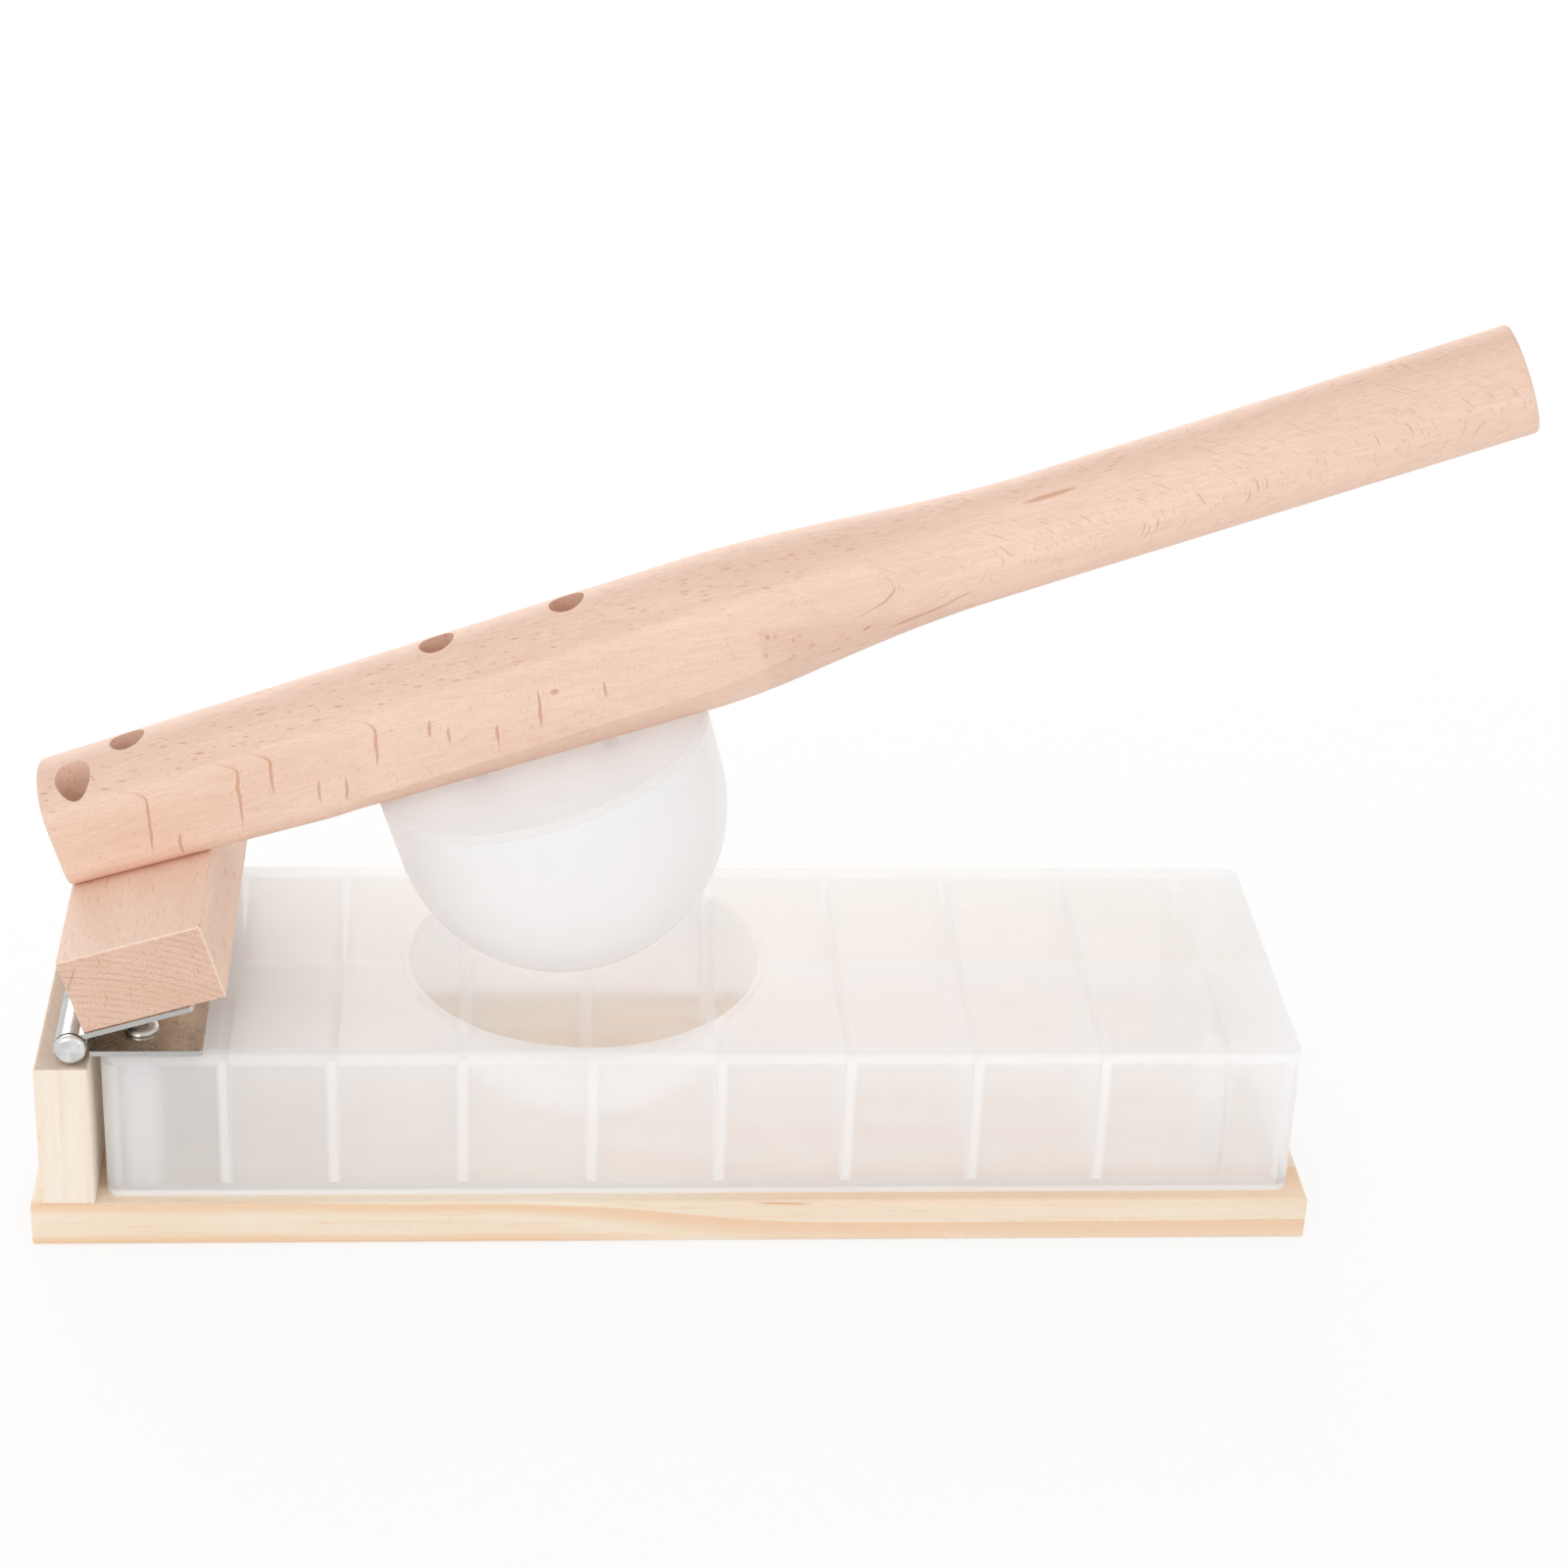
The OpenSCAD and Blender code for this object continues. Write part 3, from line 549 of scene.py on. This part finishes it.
def handle_beech():
    """The crown shows short dark dashes along the grain. The sides show the rays as thin upright
    strokes that hook back into the crown, and on the round grip as nested arches."""
    wood = Finish(bpy.data.materials.new("handle_beech"))
    where = millimetres(wood, LEVER_TURN, HINGE_PIN)
    along, across, high = wood.split(where)
    tones = (0.905, 0.675, 0.545, 1), (0.845, 0.590, 0.465, 1)
    colour, fibre = beech(wood, where, (6, -60), tones)
    necked = wood.grade(along, TOP_SHOULDER[0] + BLOCK_GAP, TOP_SHOULDER[1] + BLOCK_GAP)
    shoulder = wood.calc("MULTIPLY_ADD", along, RISE, SHOULDER_LEVEL)
    above = wood.calc("SUBTRACT", high, shoulder)
    climb = wood.calc("MULTIPLY_ADD", necked, 8.0, above)
    climb = wood.most(climb, wood.times(necked, -100.0))
    sharpness = wood.calc("MULTIPLY_ADD", necked, -0.20, 0.30)
    hook = wood.times(climb, climb, sharpness)
    lean = wood.times(above, wood.calc("MULTIPLY_ADD", necked, 0.2, -0.2))
    wobble = wood.times(wood.cloud(wood.scaled(where, 5, 9, 5), 1.0), 1.4)
    bent = wood.calc("ADD", wood.calc("ADD", along, lean), wood.calc("ADD", hook, wobble))
    curved = wood.joined(bent, across, high)
    flank_height = wood.calc("MULTIPLY_ADD", necked, 8.5, 5.0)
    reach = wood.calc("DIVIDE", wood.calc("ABSOLUTE", climb), flank_height)
    flank = wood.grade(reach, 0.8, 1.15, 1.0, 0.0)
    crown = wood.calc("SUBTRACT", 1.0, flank)
    plugs = {"Vector": where, "Rotation": (0, 0, math.radians(7))}
    swept = wood.add("ShaderNodeMapping", plugs).outputs[0]
    faint = wood.times(flank, wood.calc("MULTIPLY_ADD", necked, 0.22, 0.38))
    arched = wood.times(necked, 0.6)
    marks = [
        wood.times(wood.flecks(swept, (4.6, 0.60, 4.2), 1.0, 1.6), wood.times(crown, 0.72)),
        wood.times(wood.flecks(swept, (2.6, 0.46, 2.6), 1.0, 1.6), wood.times(crown, 0.6)),
        wood.times(wood.flecks(curved, (0.42, 6.0, 2.6), 0.9, 1.7), faint),
        wood.times(wood.flecks(curved, (0.60, 7.0, 5.5), 0.6, 1.9), arched),
    ]
    spots = [wood.spot(where, *SPECK), wood.spot(where, *GRIP_STREAK)]
    for place, low, top in RAY_STROKES:
        height = (low + top) / 2
        middle = 0.7 + place - 0.2 * (height - SHOULDER_LEVEL - RISE * place)
        size = (0.58, 7.0, 0.6 * (top - low))
        spots.append(wood.spot(curved, (middle, -14, height), size))
    for place, height, half in NECK_TEARS:
        spots.append(wood.spot(where, (place, -10, height), (half, 6, 0.6), (0, -0.2, 0)))
    marks = wood.most(*marks, *(wood.times(spot, MARK_DEPTH) for spot in spots))
    # Painted shade: the crown a little darker and greyer than the sides.
    painted_crown_shade = wood.times(crown, 0.5)
    colour = wood.mix(painted_crown_shade, colour, (0.87, 0.83, 0.82, 1), "MULTIPLY")
    colour = wood.mix(marks, colour, FLECK_BEECH)
    return timber(wood, colour, wood.calc("SUBTRACT", fibre, marks), 0.52)


stations = [0, 0.2, 0.6, END_ROUND]
stations += [END_ROUND + (HANDLE_LENGTH - 2 * END_ROUND) * i / 150 for i in range(1, 151)]
stations += [HANDLE_LENGTH - d for d in (0.6, 0.2, 0)]
handle = piece_from(skin([handle_ring(x) for x in stations], "handle_wood"), "handle_wood")
bores = []
for x, y, bottom in COUNTERBORES:
    wide, narrow = BORE_RADIUS, SCREW_HOLE_RADIUS
    outline = [(0, bottom), (wide, bottom), (wide, 70), (0, 70)]
    bores.append(turned(outline, "bore", 48, (x, y, 0)))
    outline = [(0, -5), (narrow, -5), (narrow, bottom + 1), (0, bottom + 1)]
    bores.append(turned(outline, "bore", 24, (x, y, 0)))
carve(handle, bores)
handle.data.transform(LEVER @ Matrix.Translation(MM * Vector((BLOCK_GAP, 0, UNDERSIDE))))
paint(handle, handle_beech())
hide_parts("handle")
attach(handle, "lever")

# ----------------------------------------------------------------- cross block
# A beech block across the press, between the hinge and the handle. Its grain runs from
# front to rear, so its front end shows rings.
BLOCK_HEART, BLOCK_HALF_LENGTH = (-16.5, -66), 53.2
# The colour of the ring lines on the end grain, and of the painted highlight on the block's edges.
RING_LINE, ARRIS_HIGHLIGHT = (0.50, 0.30, 0.22, 1), (0.93, 0.74, 0.61, 1)


def block_beech():
    wood = Finish(bpy.data.materials.new("block_beech"))
    where = millimetres(wood, LEVER_TURN, HINGE_PIN)
    along, across, high = wood.split(where)
    grain = wood.joined(across, along, high)
    tones = (0.885, 0.675, 0.555, 1), (0.825, 0.590, 0.470, 1)
    colour, fibre = beech(wood, grain, BLOCK_HEART, tones)
    dashes = wood.times(wood.flecks(grain, (3.4, 0.32, 3.0), 0.7), 0.6)
    colour = wood.mix(dashes, colour, FLECK_BEECH)
    from_middle = wood.calc("ABSOLUTE", across)
    sawn = wood.grade(from_middle, BLOCK_HALF_LENGTH - 0.5, BLOCK_HALF_LENGTH - 0.1)
    cut = end_grain(wood, colour, fibre, sawn, 0.0, 1.0, (0.92, 0.84, 0.80, 1))
    distance = ring_distance(wood, grain, BLOCK_HEART, 3, 60)
    turns = wood.calc("FRACT", wood.calc("DIVIDE", distance, 1.9))
    line = wood.times(wood.grade(turns, 0.55, 0.85), wood.grade(turns, 0.88, 1.0, 1.0, 0.0))
    patchy = wood.grade(wood.cloud(wood.scaled(where, 5, 5, 1.2), 3.0), 0.4, 0.6, 0.1, 0.5)
    cut = wood.mix(wood.times(line, patchy), cut, RING_LINE)
    check = wood.spot(where, (7.2, -BLOCK_HALF_LENGTH, 19.6), (0.35, 3, 5.0), (0, 0.59, 0))
    cut = wood.mix(wood.times(check, 0.6), cut, CUT_FIBRE)
    # Painted highlight: pale lines along the top and side edges of the front end, where the eased
    # edges catch the light.
    painted_arris_highlight = wood.most(wood.grade(high, 24.6, 24.9), wood.grade(along, 43.5, 43.9))
    cut = wood.mix(wood.times(painted_arris_highlight, 0.7), cut, ARRIS_HIGHLIGHT)
    return timber(wood, wood.mix(sawn, colour, cut), fibre, 0.52)


cross_block = frame["nodes"]["cross_block"]
paint(cross_block, block_beech())

# ------------------------------------------------------------------ dome cover
# The flat lid of the dome, of the same milky plastic. It is screwed to the handle through
# two posts, and the dome is pushed over its spigot.
DOME_PLACE, SEAM, RIM_RADIUS = 137.2, 22.6, 46.4
COVER_HEIGHT, SPIGOT_RADIUS, SPIGOT_DEPTH = 2.6, 43.8, 5
COVER_POST_X, COVER_POST_RADIUS, COVER_POST_DEPTH = 18.35, 6, 16


def arc(centre_r, centre_z, radius, start, end, steps=6):
    """Points of a rounded edge, as (radius, height), from start to end in degrees."""
    turns = [math.radians(between(start, end, i / steps)) for i in range(steps + 1)]
    return [(centre_r + radius * math.cos(a), centre_z + radius * math.sin(a)) for a in turns]


cover_outline = [
    (0, COVER_HEIGHT), *arc(RIM_RADIUS - 0.5, COVER_HEIGHT - 0.5, 0.5, 90, 0),
    *arc(RIM_RADIUS - 0.4, 0.4, 0.4, 0, -90), (SPIGOT_RADIUS, 0),
    *arc(SPIGOT_RADIUS - 0.5, 0.5 - SPIGOT_DEPTH, 0.5, 0, -90),
    (SPIGOT_RADIUS - 2, -SPIGOT_DEPTH), (SPIGOT_RADIUS - 2, 0), (0, 0),
]
dome_cover = piece_from(turned(cover_outline, "cover_shell", 144), "cover_shell")
post_outline = [(0, -COVER_POST_DEPTH), *arc(COVER_POST_RADIUS - 0.4, 0.4 - COVER_POST_DEPTH,
                                             0.4, -90, 0), (COVER_POST_RADIUS, 1), (0, 1)]
bore_outline = [(0, -13.4), (2.15, -13.4), (2.15, 9), (0, 9)]
post_places = [(side * COVER_POST_X, 0, 0) for side in (-1, 1)]
carve(dome_cover, [turned(post_outline, "post", 48, place) for place in post_places], "UNION")
carve(dome_cover, [turned(bore_outline, "bore", 32, place) for place in post_places])
dome_cover.data.transform(LEVER @ Matrix.Translation(MM * Vector((DOME_PLACE, 0, SEAM))))
paint(dome_cover, milky_finish("cover_plastic", (0.992, 0.993, 0.997, 1), 0.34, 0.5, 0.2))
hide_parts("dome_cover")
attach(dome_cover, "lever")

# ------------------------------------------------------------------ press dome
# A hollow dome of the same milky plastic, moulded thin and glossy, with a round bottom and
# a slightly flared wall up to its rim.
DOME_OUTSIDE, DOME_INSIDE, DOME_CENTRE = 46, 43.6, 6.2
dome_outline = arc(0, DOME_CENTRE, DOME_OUTSIDE, -90, 0, 40)
dome_outline += [(46.2, 14), *arc(46.0, 22.2, 0.4, 0, 90, 4), *arc(44.3, 22.3, 0.3, 90, 180, 4)]
dome_outline += [(43.8, 14), *arc(0, DOME_CENTRE + 0.01, DOME_INSIDE, 0, -90, 40)]
press_dome = piece_from(turned(dome_outline, "dome_shell", 144), "dome_shell")
press_dome.data.transform(LEVER @ Matrix.Translation(MM * Vector((DOME_PLACE, 0, 0))))
paint(press_dome, milky_finish("dome_plastic", (0.989, 0.989, 0.992, 1), 0.28, 0.4, 0.12))
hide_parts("press_dome")
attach(press_dome, "lever")

# ------------------------------------------------------------------- butt hinge
# Two leaves of plated steel strip, 107 mm long. Their tongues are rolled round the pin, so
# that a seam stays open above the plate, and each leaf has four countersunk holes.
LEAF_WIDTH, LEAF_THICK, LEAF_OFFSET = 34.6, 1.5, 2.8
LEAF_TOP = LEAF_THICK - LEAF_OFFSET
HINGE_LENGTH = 107
KNUCKLE_OUTER, KNUCKLE_INNER, KNUCKLE_WIDTH, KNUCKLE_GAP = 4.4, 2.9, 21.4, 0.3
FIRST_HOLE, HOLE_STEP, LEAF_HOLE_X = -42, 28, 17.7


def rolled_tongue(y):
    """A tongue of the leaf, rolled round the pin from below and over."""
    start_out = math.degrees(math.asin(-LEAF_OFFSET / KNUCKLE_OUTER))
    start_in = math.degrees(math.asin(LEAF_TOP / KNUCKLE_INNER))
    outline = [(9, -LEAF_OFFSET), *arc(0, 0, KNUCKLE_OUTER, start_out, -369, 48)]
    outline += [*arc(0, 0, KNUCKLE_INNER, -369, start_in, 48), (9, LEAF_TOP)]
    ends = y + KNUCKLE_GAP / 2, y + KNUCKLE_WIDTH - KNUCKLE_GAP / 2
    return skin([[(x, end, z) for x, z in outline] for end in ends], "tongue")


def hinge_leaf(name, tongues):
    """A leaf below the pin's axis: a plate with rounded corners, its tongues and its holes."""
    half = HINGE_LENGTH / 2
    corners = [(5, -half), (LEAF_WIDTH - 1, -half), (LEAF_WIDTH - 0.3, -half + 0.3),
               (LEAF_WIDTH, -half + 1)]
    corners += [(x, -y) for x, y in reversed(corners)]
    plate = skin([[(x, y, z) for x, y in corners] for z in (-LEAF_OFFSET, LEAF_TOP)], name)
    leaf = piece_from(plate, name)
    carve(leaf, [rolled_tongue(k * KNUCKLE_WIDTH - half) for k in tongues], "UNION")
    hole = [(0, -5), (2.2, -5), (2.2, LEAF_TOP - 1.4), (3.6, LEAF_TOP), (3.6, 3), (0, 3)]
    places = [(LEAF_HOLE_X, FIRST_HOLE + k * HOLE_STEP, 0) for k in range(4)]
    carve(leaf, [turned(hole, "hole", 32, place) for place in places])
    return leaf


def rolled_or_cut(metal, where):
    """1 on the knuckles and the strip's cut ends, plain dull steel beside the face's painted
    reflection.
    """
    from_pin = metal.vector("SUBTRACT", where, HINGE_PIN / MM)
    reach = metal.vector("LENGTH", metal.vector("MULTIPLY", from_pin, (1, 0, 1)))
    knuckle = metal.grade(reach, KNUCKLE_OUTER + 0.1, KNUCKLE_OUTER + 0.6, 1.0, 0.0)
    sideways = metal.calc("ABSOLUTE", metal.split(where)["Y"])
    cut = metal.grade(sideways, HINGE_LENGTH / 2 - 0.2, HINGE_LENGTH / 2 - 0.1)
    return metal.most(knuckle, cut)


DULL_STEEL = (0.50, 0.50, 0.49, 1)


def metal_finish(name, colour, dull, roughness, speck, worked=None):
    """Plated steel: cloudy and finely scratched, with small dull or bright specks, and bare
    dull steel where it was worked."""
    metal = Finish(bpy.data.materials.new(name))
    where = millimetres(metal)
    cloud = metal.cloud(metal.scaled(where, 4, 4, 4), 4.0, 0.6)
    brushed = metal.cloud(metal.scaled(where, 0.35, 9, 0.35), 3.0, 0.6)
    shade = metal.mix(metal.grade(cloud, 0.35, 0.65), colour, dull)
    shade = metal.mix(metal.grade(brushed, 0.45, 0.75, 0.0, 0.35), shade, dull)
    if worked:
        shade = metal.mix(worked(metal, where), shade, DULL_STEEL)
    specks = metal.flecks(where, (0.4, 0.4, 0.4), 0.30)
    shade = metal.mix(metal.times(specks, 0.7), shade, speck)
    plugs = {"Height": brushed, "Strength": 0.12, "Distance": 0.1 * MM}
    bump = metal.add("ShaderNodeBump", plugs).outputs[0]
    rough = metal.grade(cloud, 0.3, 0.7, roughness, roughness + 0.14)
    rough = metal.calc("ADD", rough, metal.times(specks, 0.2))
    plugs = {"Base Color": shade, "Metallic": 1.0, "Roughness": rough, "Normal": bump}
    return metal.ended(metal.add("ShaderNodeBsdfPrincipled", plugs))


# The leaves' warm brown is a painted reflection of the beech above them, over the steel's own grey.
leaf_steel_painted_reflection = metal_finish("leaf_steel_painted_reflection", (0.81, 0.73, 0.65, 1), (0.61, 0.54, 0.47, 1), 0.16,
                          (0.85, 0.85, 0.82, 1), rolled_or_cut)
lower_leaf = hinge_leaf("lower_leaf_plate", (1, 3))
lower_leaf.data.transform(Matrix.Translation(HINGE_PIN))
paint(lower_leaf, leaf_steel_painted_reflection)
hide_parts("lower_hinge_leaf")
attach(lower_leaf, "base")

upper_leaf = hinge_leaf("upper_leaf_plate", (0, 2, 4))
upper_leaf.data.transform(Matrix.Scale(-1, 4, (0, 0, 1)))
upper_leaf.data.flip_normals()
upper_leaf.data.transform(LEVER)
paint(upper_leaf, leaf_steel_painted_reflection)
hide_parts("upper_hinge_leaf")
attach(upper_leaf, "lever")

# -------------------------------------------------------------------- hinge pin
# A steel pin with a bevelled button head pressed onto each end.
PIN_REACH = HINGE_LENGTH / 2 + 0.2
pin_end = [(0, 2.1), (3.1, 2.1), (3.5, 1.98), (4.12, 1.5), (4.3, 1.2), (4.3, 0.25), (4.15, 0),
           (2.85, 0)]
pin_outline = [(r, PIN_REACH + h) for r, h in pin_end]
pin_outline += [(r, -PIN_REACH - h) for r, h in reversed(pin_end)]
hinge_pin = piece_from(turned(pin_outline, "pin_bar", 64), "pin_bar")
upright_to_across = Matrix.Rotation(math.radians(90), 4, "X")
hinge_pin.data.transform(Matrix.Translation(HINGE_PIN) @ upright_to_across)
paint(hinge_pin, metal_finish("pin_steel", (0.78, 0.78, 0.77, 1), (0.62, 0.62, 0.61, 1), 0.24,
                              (0.45, 0.44, 0.42, 1)))
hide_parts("hinge_pin")
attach(hinge_pin, "base")

# ----------------------------------------------------------------------- screws
# Zinc-plated steel screws with cross recesses. One screw of each kind is cut, and each row
# of them is set out by the same tree, with a turn of its own for every screw.
THREAD_PITCH, CORE_RADIUS, CREST, POINT_LENGTH = 1.5, 1.55, 0.5, 4
RECESS_DEPTH, RECESS_HALF_WIDTH = 1.2, 0.42


def threaded_screw(name, length, head):
    """A screw pointing down, with its thread cut as a helix and head = (radius, height) rows."""
    around, steps = 24, 6
    rows = []
    thread_top = head[0][1] - 0.3
    count = int((length + thread_top) / THREAD_PITCH * steps)
    for i in range(count + 1):
        z = between(-length + 0.4, thread_top, i / count)
        taper = min(1, (z + length) / POINT_LENGTH)
        ring = []
        for k in range(around):
            phase = (z / THREAD_PITCH - k / around) % 1
            radius = (CORE_RADIUS + CREST * max(0, 1 - abs(phase - 0.5) * 4)) * taper
            angle = 2 * math.pi * (k / around)
            ring.append((radius * math.cos(angle), radius * math.sin(angle), z))
        rows.append(ring)
    rows += [circle(radius, height, around) for radius, height in head]
    screw = piece_from(skin(rows, name), name)
    over, under = head[-1][1] + 1, head[-1][1] - RECESS_DEPTH
    wings = [(-2.1, over), (2.1, over), (1.75, under), (-1.75, under)]
    for turn in (0, 90):
        sides = (-RECESS_HALF_WIDTH, RECESS_HALF_WIDTH)
        blade = skin([[(x, y, z) for x, z in wings] for y in sides], "blade")
        blade.transform(Matrix.Rotation(math.radians(turn), 4, "Z"))
        carve(screw, [blade])
    return screw


PAN_HEAD = [(2.05, 0), (4.2, 0), (4.6, 0.3), (4.58, 0.8), (4.2, 1.35), (3.4, 1.75),
            (2.4, 1.94), (1.2, 2.0)]
TALL_HEAD = [(2.05, 0), (4.2, 0), (4.6, 0.4), (4.58, 1.1), (4.2, 1.9), (3.4, 2.45),
             (2.4, 2.7), (1.2, 2.8)]
LEAF_FLAT = [(2.05, -1.5), (3.5, -0.1), (3.55, 0), (3.2, 0.0)]
FOOT_FLAT = [(2.05, -2.0), (4.0, -0.1), (4.05, 0), (3.6, 0.0)]


def screw_row_tree():
    """Sets copies of a screw in a straight row, each with a further turn about its own axis."""
    tree = bpy.data.node_groups.new("screw_row", "GeometryNodeTree")
    row = Nodes(tree)
    sockets = {}
    for name, kind in (("Screw", "Object"), ("Finish", "Material"), ("Count", "Int"),
                       ("First place", "Vector"), ("Step", "Vector"), ("Least turn", "Float"),
                       ("Most turn", "Float")):
        made = tree.interface.new_socket(name, in_out="INPUT", socket_type="NodeSocket" + kind)
        sockets[name] = made.identifier
    tree.interface.new_socket("Row", in_out="OUTPUT", socket_type="NodeSocketGeometry")
    given = row.add("NodeGroupInput").outputs
    line = row.add("GeometryNodeMeshLine", {
        "Count": given["Count"], "Start Location": given["First place"], "Offset": given["Step"],
    })
    shape = row.add("GeometryNodeObjectInfo", {"Object": given["Screw"]})
    turn = row.add("FunctionNodeRandomValue", {
        2: given["Least turn"], 3: given["Most turn"], "Seed": 4,
    }, data_type="FLOAT")
    spin = row.add("ShaderNodeCombineXYZ", {"Z": turn.outputs[1]})
    copies = row.add("GeometryNodeInstanceOnPoints", {
        "Points": line.outputs[0], "Instance": shape.outputs["Geometry"],
        "Rotation": spin.outputs[0],
    })
    real = row.add("GeometryNodeRealizeInstances", {0: copies.outputs[0]})
    plugs = {"Geometry": real.outputs[0], "Material": given["Finish"]}
    dressed = row.add("GeometryNodeSetMaterial", plugs)
    row.add("NodeGroupOutput", {0: dressed.outputs[0]})
    return tree, sockets


screw_row, screw_sockets = screw_row_tree()
screw_zinc = metal_finish("screw_zinc", (0.80, 0.80, 0.79, 1), (0.66, 0.66, 0.64, 1), 0.22,
                          (0.50, 0.48, 0.44, 1))


def set_screws(node, kind, count, first, step, place, body):
    """Sets a row of screws from the first place, in mm, and then puts the row in its place."""
    row = add_object(node + "_row", bpy.data.meshes.new(node + "_row"))
    setting = row.modifiers.new("screw row", "NODES")
    setting.node_group = screw_row
    values = {
        "Screw": kind, "Finish": screw_zinc, "Count": count, "Least turn": 0.2, "Most turn": 1.4,
        "First place": [MM * c for c in first], "Step": [MM * c for c in step],
    }
    for name, value in values.items():
        setting[screw_sockets[name]] = value
    settle(row)
    row.data.transform(place)
    paint(row, screw_zinc)
    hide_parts(node)
    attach(row, body)


pan_screw = threaded_screw("pan_screw", 16, PAN_HEAD)
tall_screw = threaded_screw("tall_screw", 34, TALL_HEAD)
leaf_screw = threaded_screw("leaf_screw", 16, LEAF_FLAT)
foot_screw = threaded_screw("foot_screw", 32, FOOT_FLAT)
DECK = 58
LEFT_BOSS_X, RIGHT_BOSS_X, POST_X = -144.5, 150.8, -164.75
UPSIDE_DOWN = Matrix.Rotation(math.pi, 4, "X")
AT_FOOT = Matrix.Translation((0, 0, 0.4 * MM)) @ UPSIDE_DOWN
ON_DECK = Matrix.Identity(4)
UNDER_LEVER = LEVER @ Matrix.Translation((0, 0, 1.3 * MM)) @ UPSIDE_DOWN
for node, kind, count, first, step, place, body in (
    ("post_screws", foot_screw, 2, (POST_X, -34, 0), (0, 68, 0), AT_FOOT, "base"),
    ("left_box_screws", foot_screw, 2, (LEFT_BOSS_X, -42, 0), (0, 84, 0), AT_FOOT, "base"),
    ("right_box_screws", foot_screw, 2, (RIGHT_BOSS_X, -34.5, 0), (0, 69, 0), AT_FOOT, "base"),
    ("lower_leaf_screws", pan_screw, 4, (LEFT_BOSS_X, FIRST_HOLE, DECK + LEAF_THICK),
     (0, HOLE_STEP, 0), ON_DECK, "base"),
    ("upper_leaf_screws", leaf_screw, 4, (LEAF_HOLE_X, FIRST_HOLE, 0),
     (0, HOLE_STEP, 0), UNDER_LEVER, "lever"),
    ("block_screws", tall_screw, 2, (BLOCK_GAP + 10.5, -8.5, UNDERSIDE + BLOCK_BORE_FLOOR),
     (15.5, 8.5, 0), LEVER, "lever"),
    ("dome_screws", tall_screw, 2, (DOME_PLACE - COVER_POST_X, 0, UNDERSIDE + DOME_BORE_FLOOR),
     (2 * COVER_POST_X, 0, 0), LEVER, "lever"),
):
    set_screws(node, kind, count, first, step, place, body)
for pattern in (pan_screw, tall_screw, leaf_screw, foot_screw):
    bpy.data.objects.remove(pattern)

# ------------------------------------------------------------- floor and lights
# A plain white floor that only a soft shadow marks, an even white world, two soft lamps in
# front that the metal and the plastic mirror, and one behind that shines through the plastic.
FLOOR_HALF, FLOOR_LEVEL = 6.0, -0.0003
WORLD_LIGHT = 0.89


def seen_itself(finish):
    """1 for rays from the camera, from mirrors and through glass, and 0 for light on the press."""
    rays = finish.add("ShaderNodeLightPath").outputs
    return finish.most(rays["Is Camera Ray"], rays["Is Glossy Ray"], rays["Is Transmission Ray"])


def floor_finish():
    white = Finish(bpy.data.materials.new("studio_white"))
    matt = white.add("ShaderNodeBsdfDiffuse", {"Color": (0.92, 0.92, 0.92, 1)})
    glow = white.add("ShaderNodeEmission", {"Color": (1, 1, 1, 1), "Strength": 1.0})
    return white.ended(white.blend(seen_itself(white), matt, white.blend(0.78, matt, glow)))


floor_mesh = bpy.data.meshes.new("studio_floor")
floor_corners = [(x * FLOOR_HALF, y * FLOOR_HALF, FLOOR_LEVEL)
                 for x, y in ((-1, -1), (1, -1), (1, 1), (-1, 1))]
floor_mesh.from_pydata(floor_corners, [], [(0, 1, 2, 3)])
floor = add_object("studio_floor", floor_mesh)
paint(floor, floor_finish())

sky = Finish(bpy.data.worlds.new("studio"))
strength = sky.add("ShaderNodeMix", {0: seen_itself(sky), 2: WORLD_LIGHT, 3: 1.0}).outputs[0]
white_sky = sky.add("ShaderNodeBackground", {0: (1, 1, 1, 1), 1: strength})
bpy.context.scene.world = sky.ended(white_sky, "ShaderNodeOutputWorld")


def soft_lamp(name, place, aim, width, height, watts):
    light = bpy.data.lights.new(name, "AREA")
    light.shape = "RECTANGLE"
    light.size, light.size_y, light.energy = width, height, watts
    lamp = add_object(name, light)
    lamp.location = place
    lamp.rotation_euler = (Vector(aim) - Vector(place)).to_track_quat("-Z", "Y").to_euler()


soft_lamp("key_lamp", (-0.7, -1.2, 0.7), (0, 0, 0.08), 0.8, 0.6, 3.2)
soft_lamp("fill_lamp", (0.9, -1.0, 0.5), (0, 0, 0.08), 0.6, 0.6, 0.9)
soft_lamp("back_lamp", (-0.25, 1.3, 0.5), (0, 0, 0.05), 1.2, 0.5, 6.5)

# ---------------------------------------------------------------------- camera
# Set where the photograph was taken from, with its view of the press.
CAMERA_PLACE = Vector((-48.6, -876.7, 567.9)) * MM
PITCH, YAW, ROLL = (math.radians(a) for a in (27.36, 5.06, 2.56))
FOCAL_PIXELS, IMAGE_WIDTH = 3670, 1600
ahead = Vector((math.sin(YAW) * math.cos(PITCH), math.cos(YAW) * math.cos(PITCH), -math.sin(PITCH)))
level = Vector((math.cos(YAW), -math.sin(YAW), 0))
above = level.cross(ahead)
right = math.cos(ROLL) * level + math.sin(ROLL) * above
up = math.cos(ROLL) * above - math.sin(ROLL) * level
camera_data = bpy.data.cameras.new("camera")
camera_data.sensor_width = 36
camera_data.lens = camera_data.sensor_width * FOCAL_PIXELS / IMAGE_WIDTH
camera_data.clip_start = 0.01
camera = add_object("camera", camera_data)
pose = Matrix((right, up, -ahead)).transposed().to_4x4()
camera.matrix_world = Matrix.Translation(CAMERA_PLACE) @ pose
bpy.context.scene.camera = camera
bpy.context.scene.view_settings.view_transform = "Standard"

bpy.context.scene.cycles.transparent_max_bounces = 32
bpy.context.scene.cycles.diffuse_bounces = 12
bpy.context.scene.cycles.max_bounces = 24
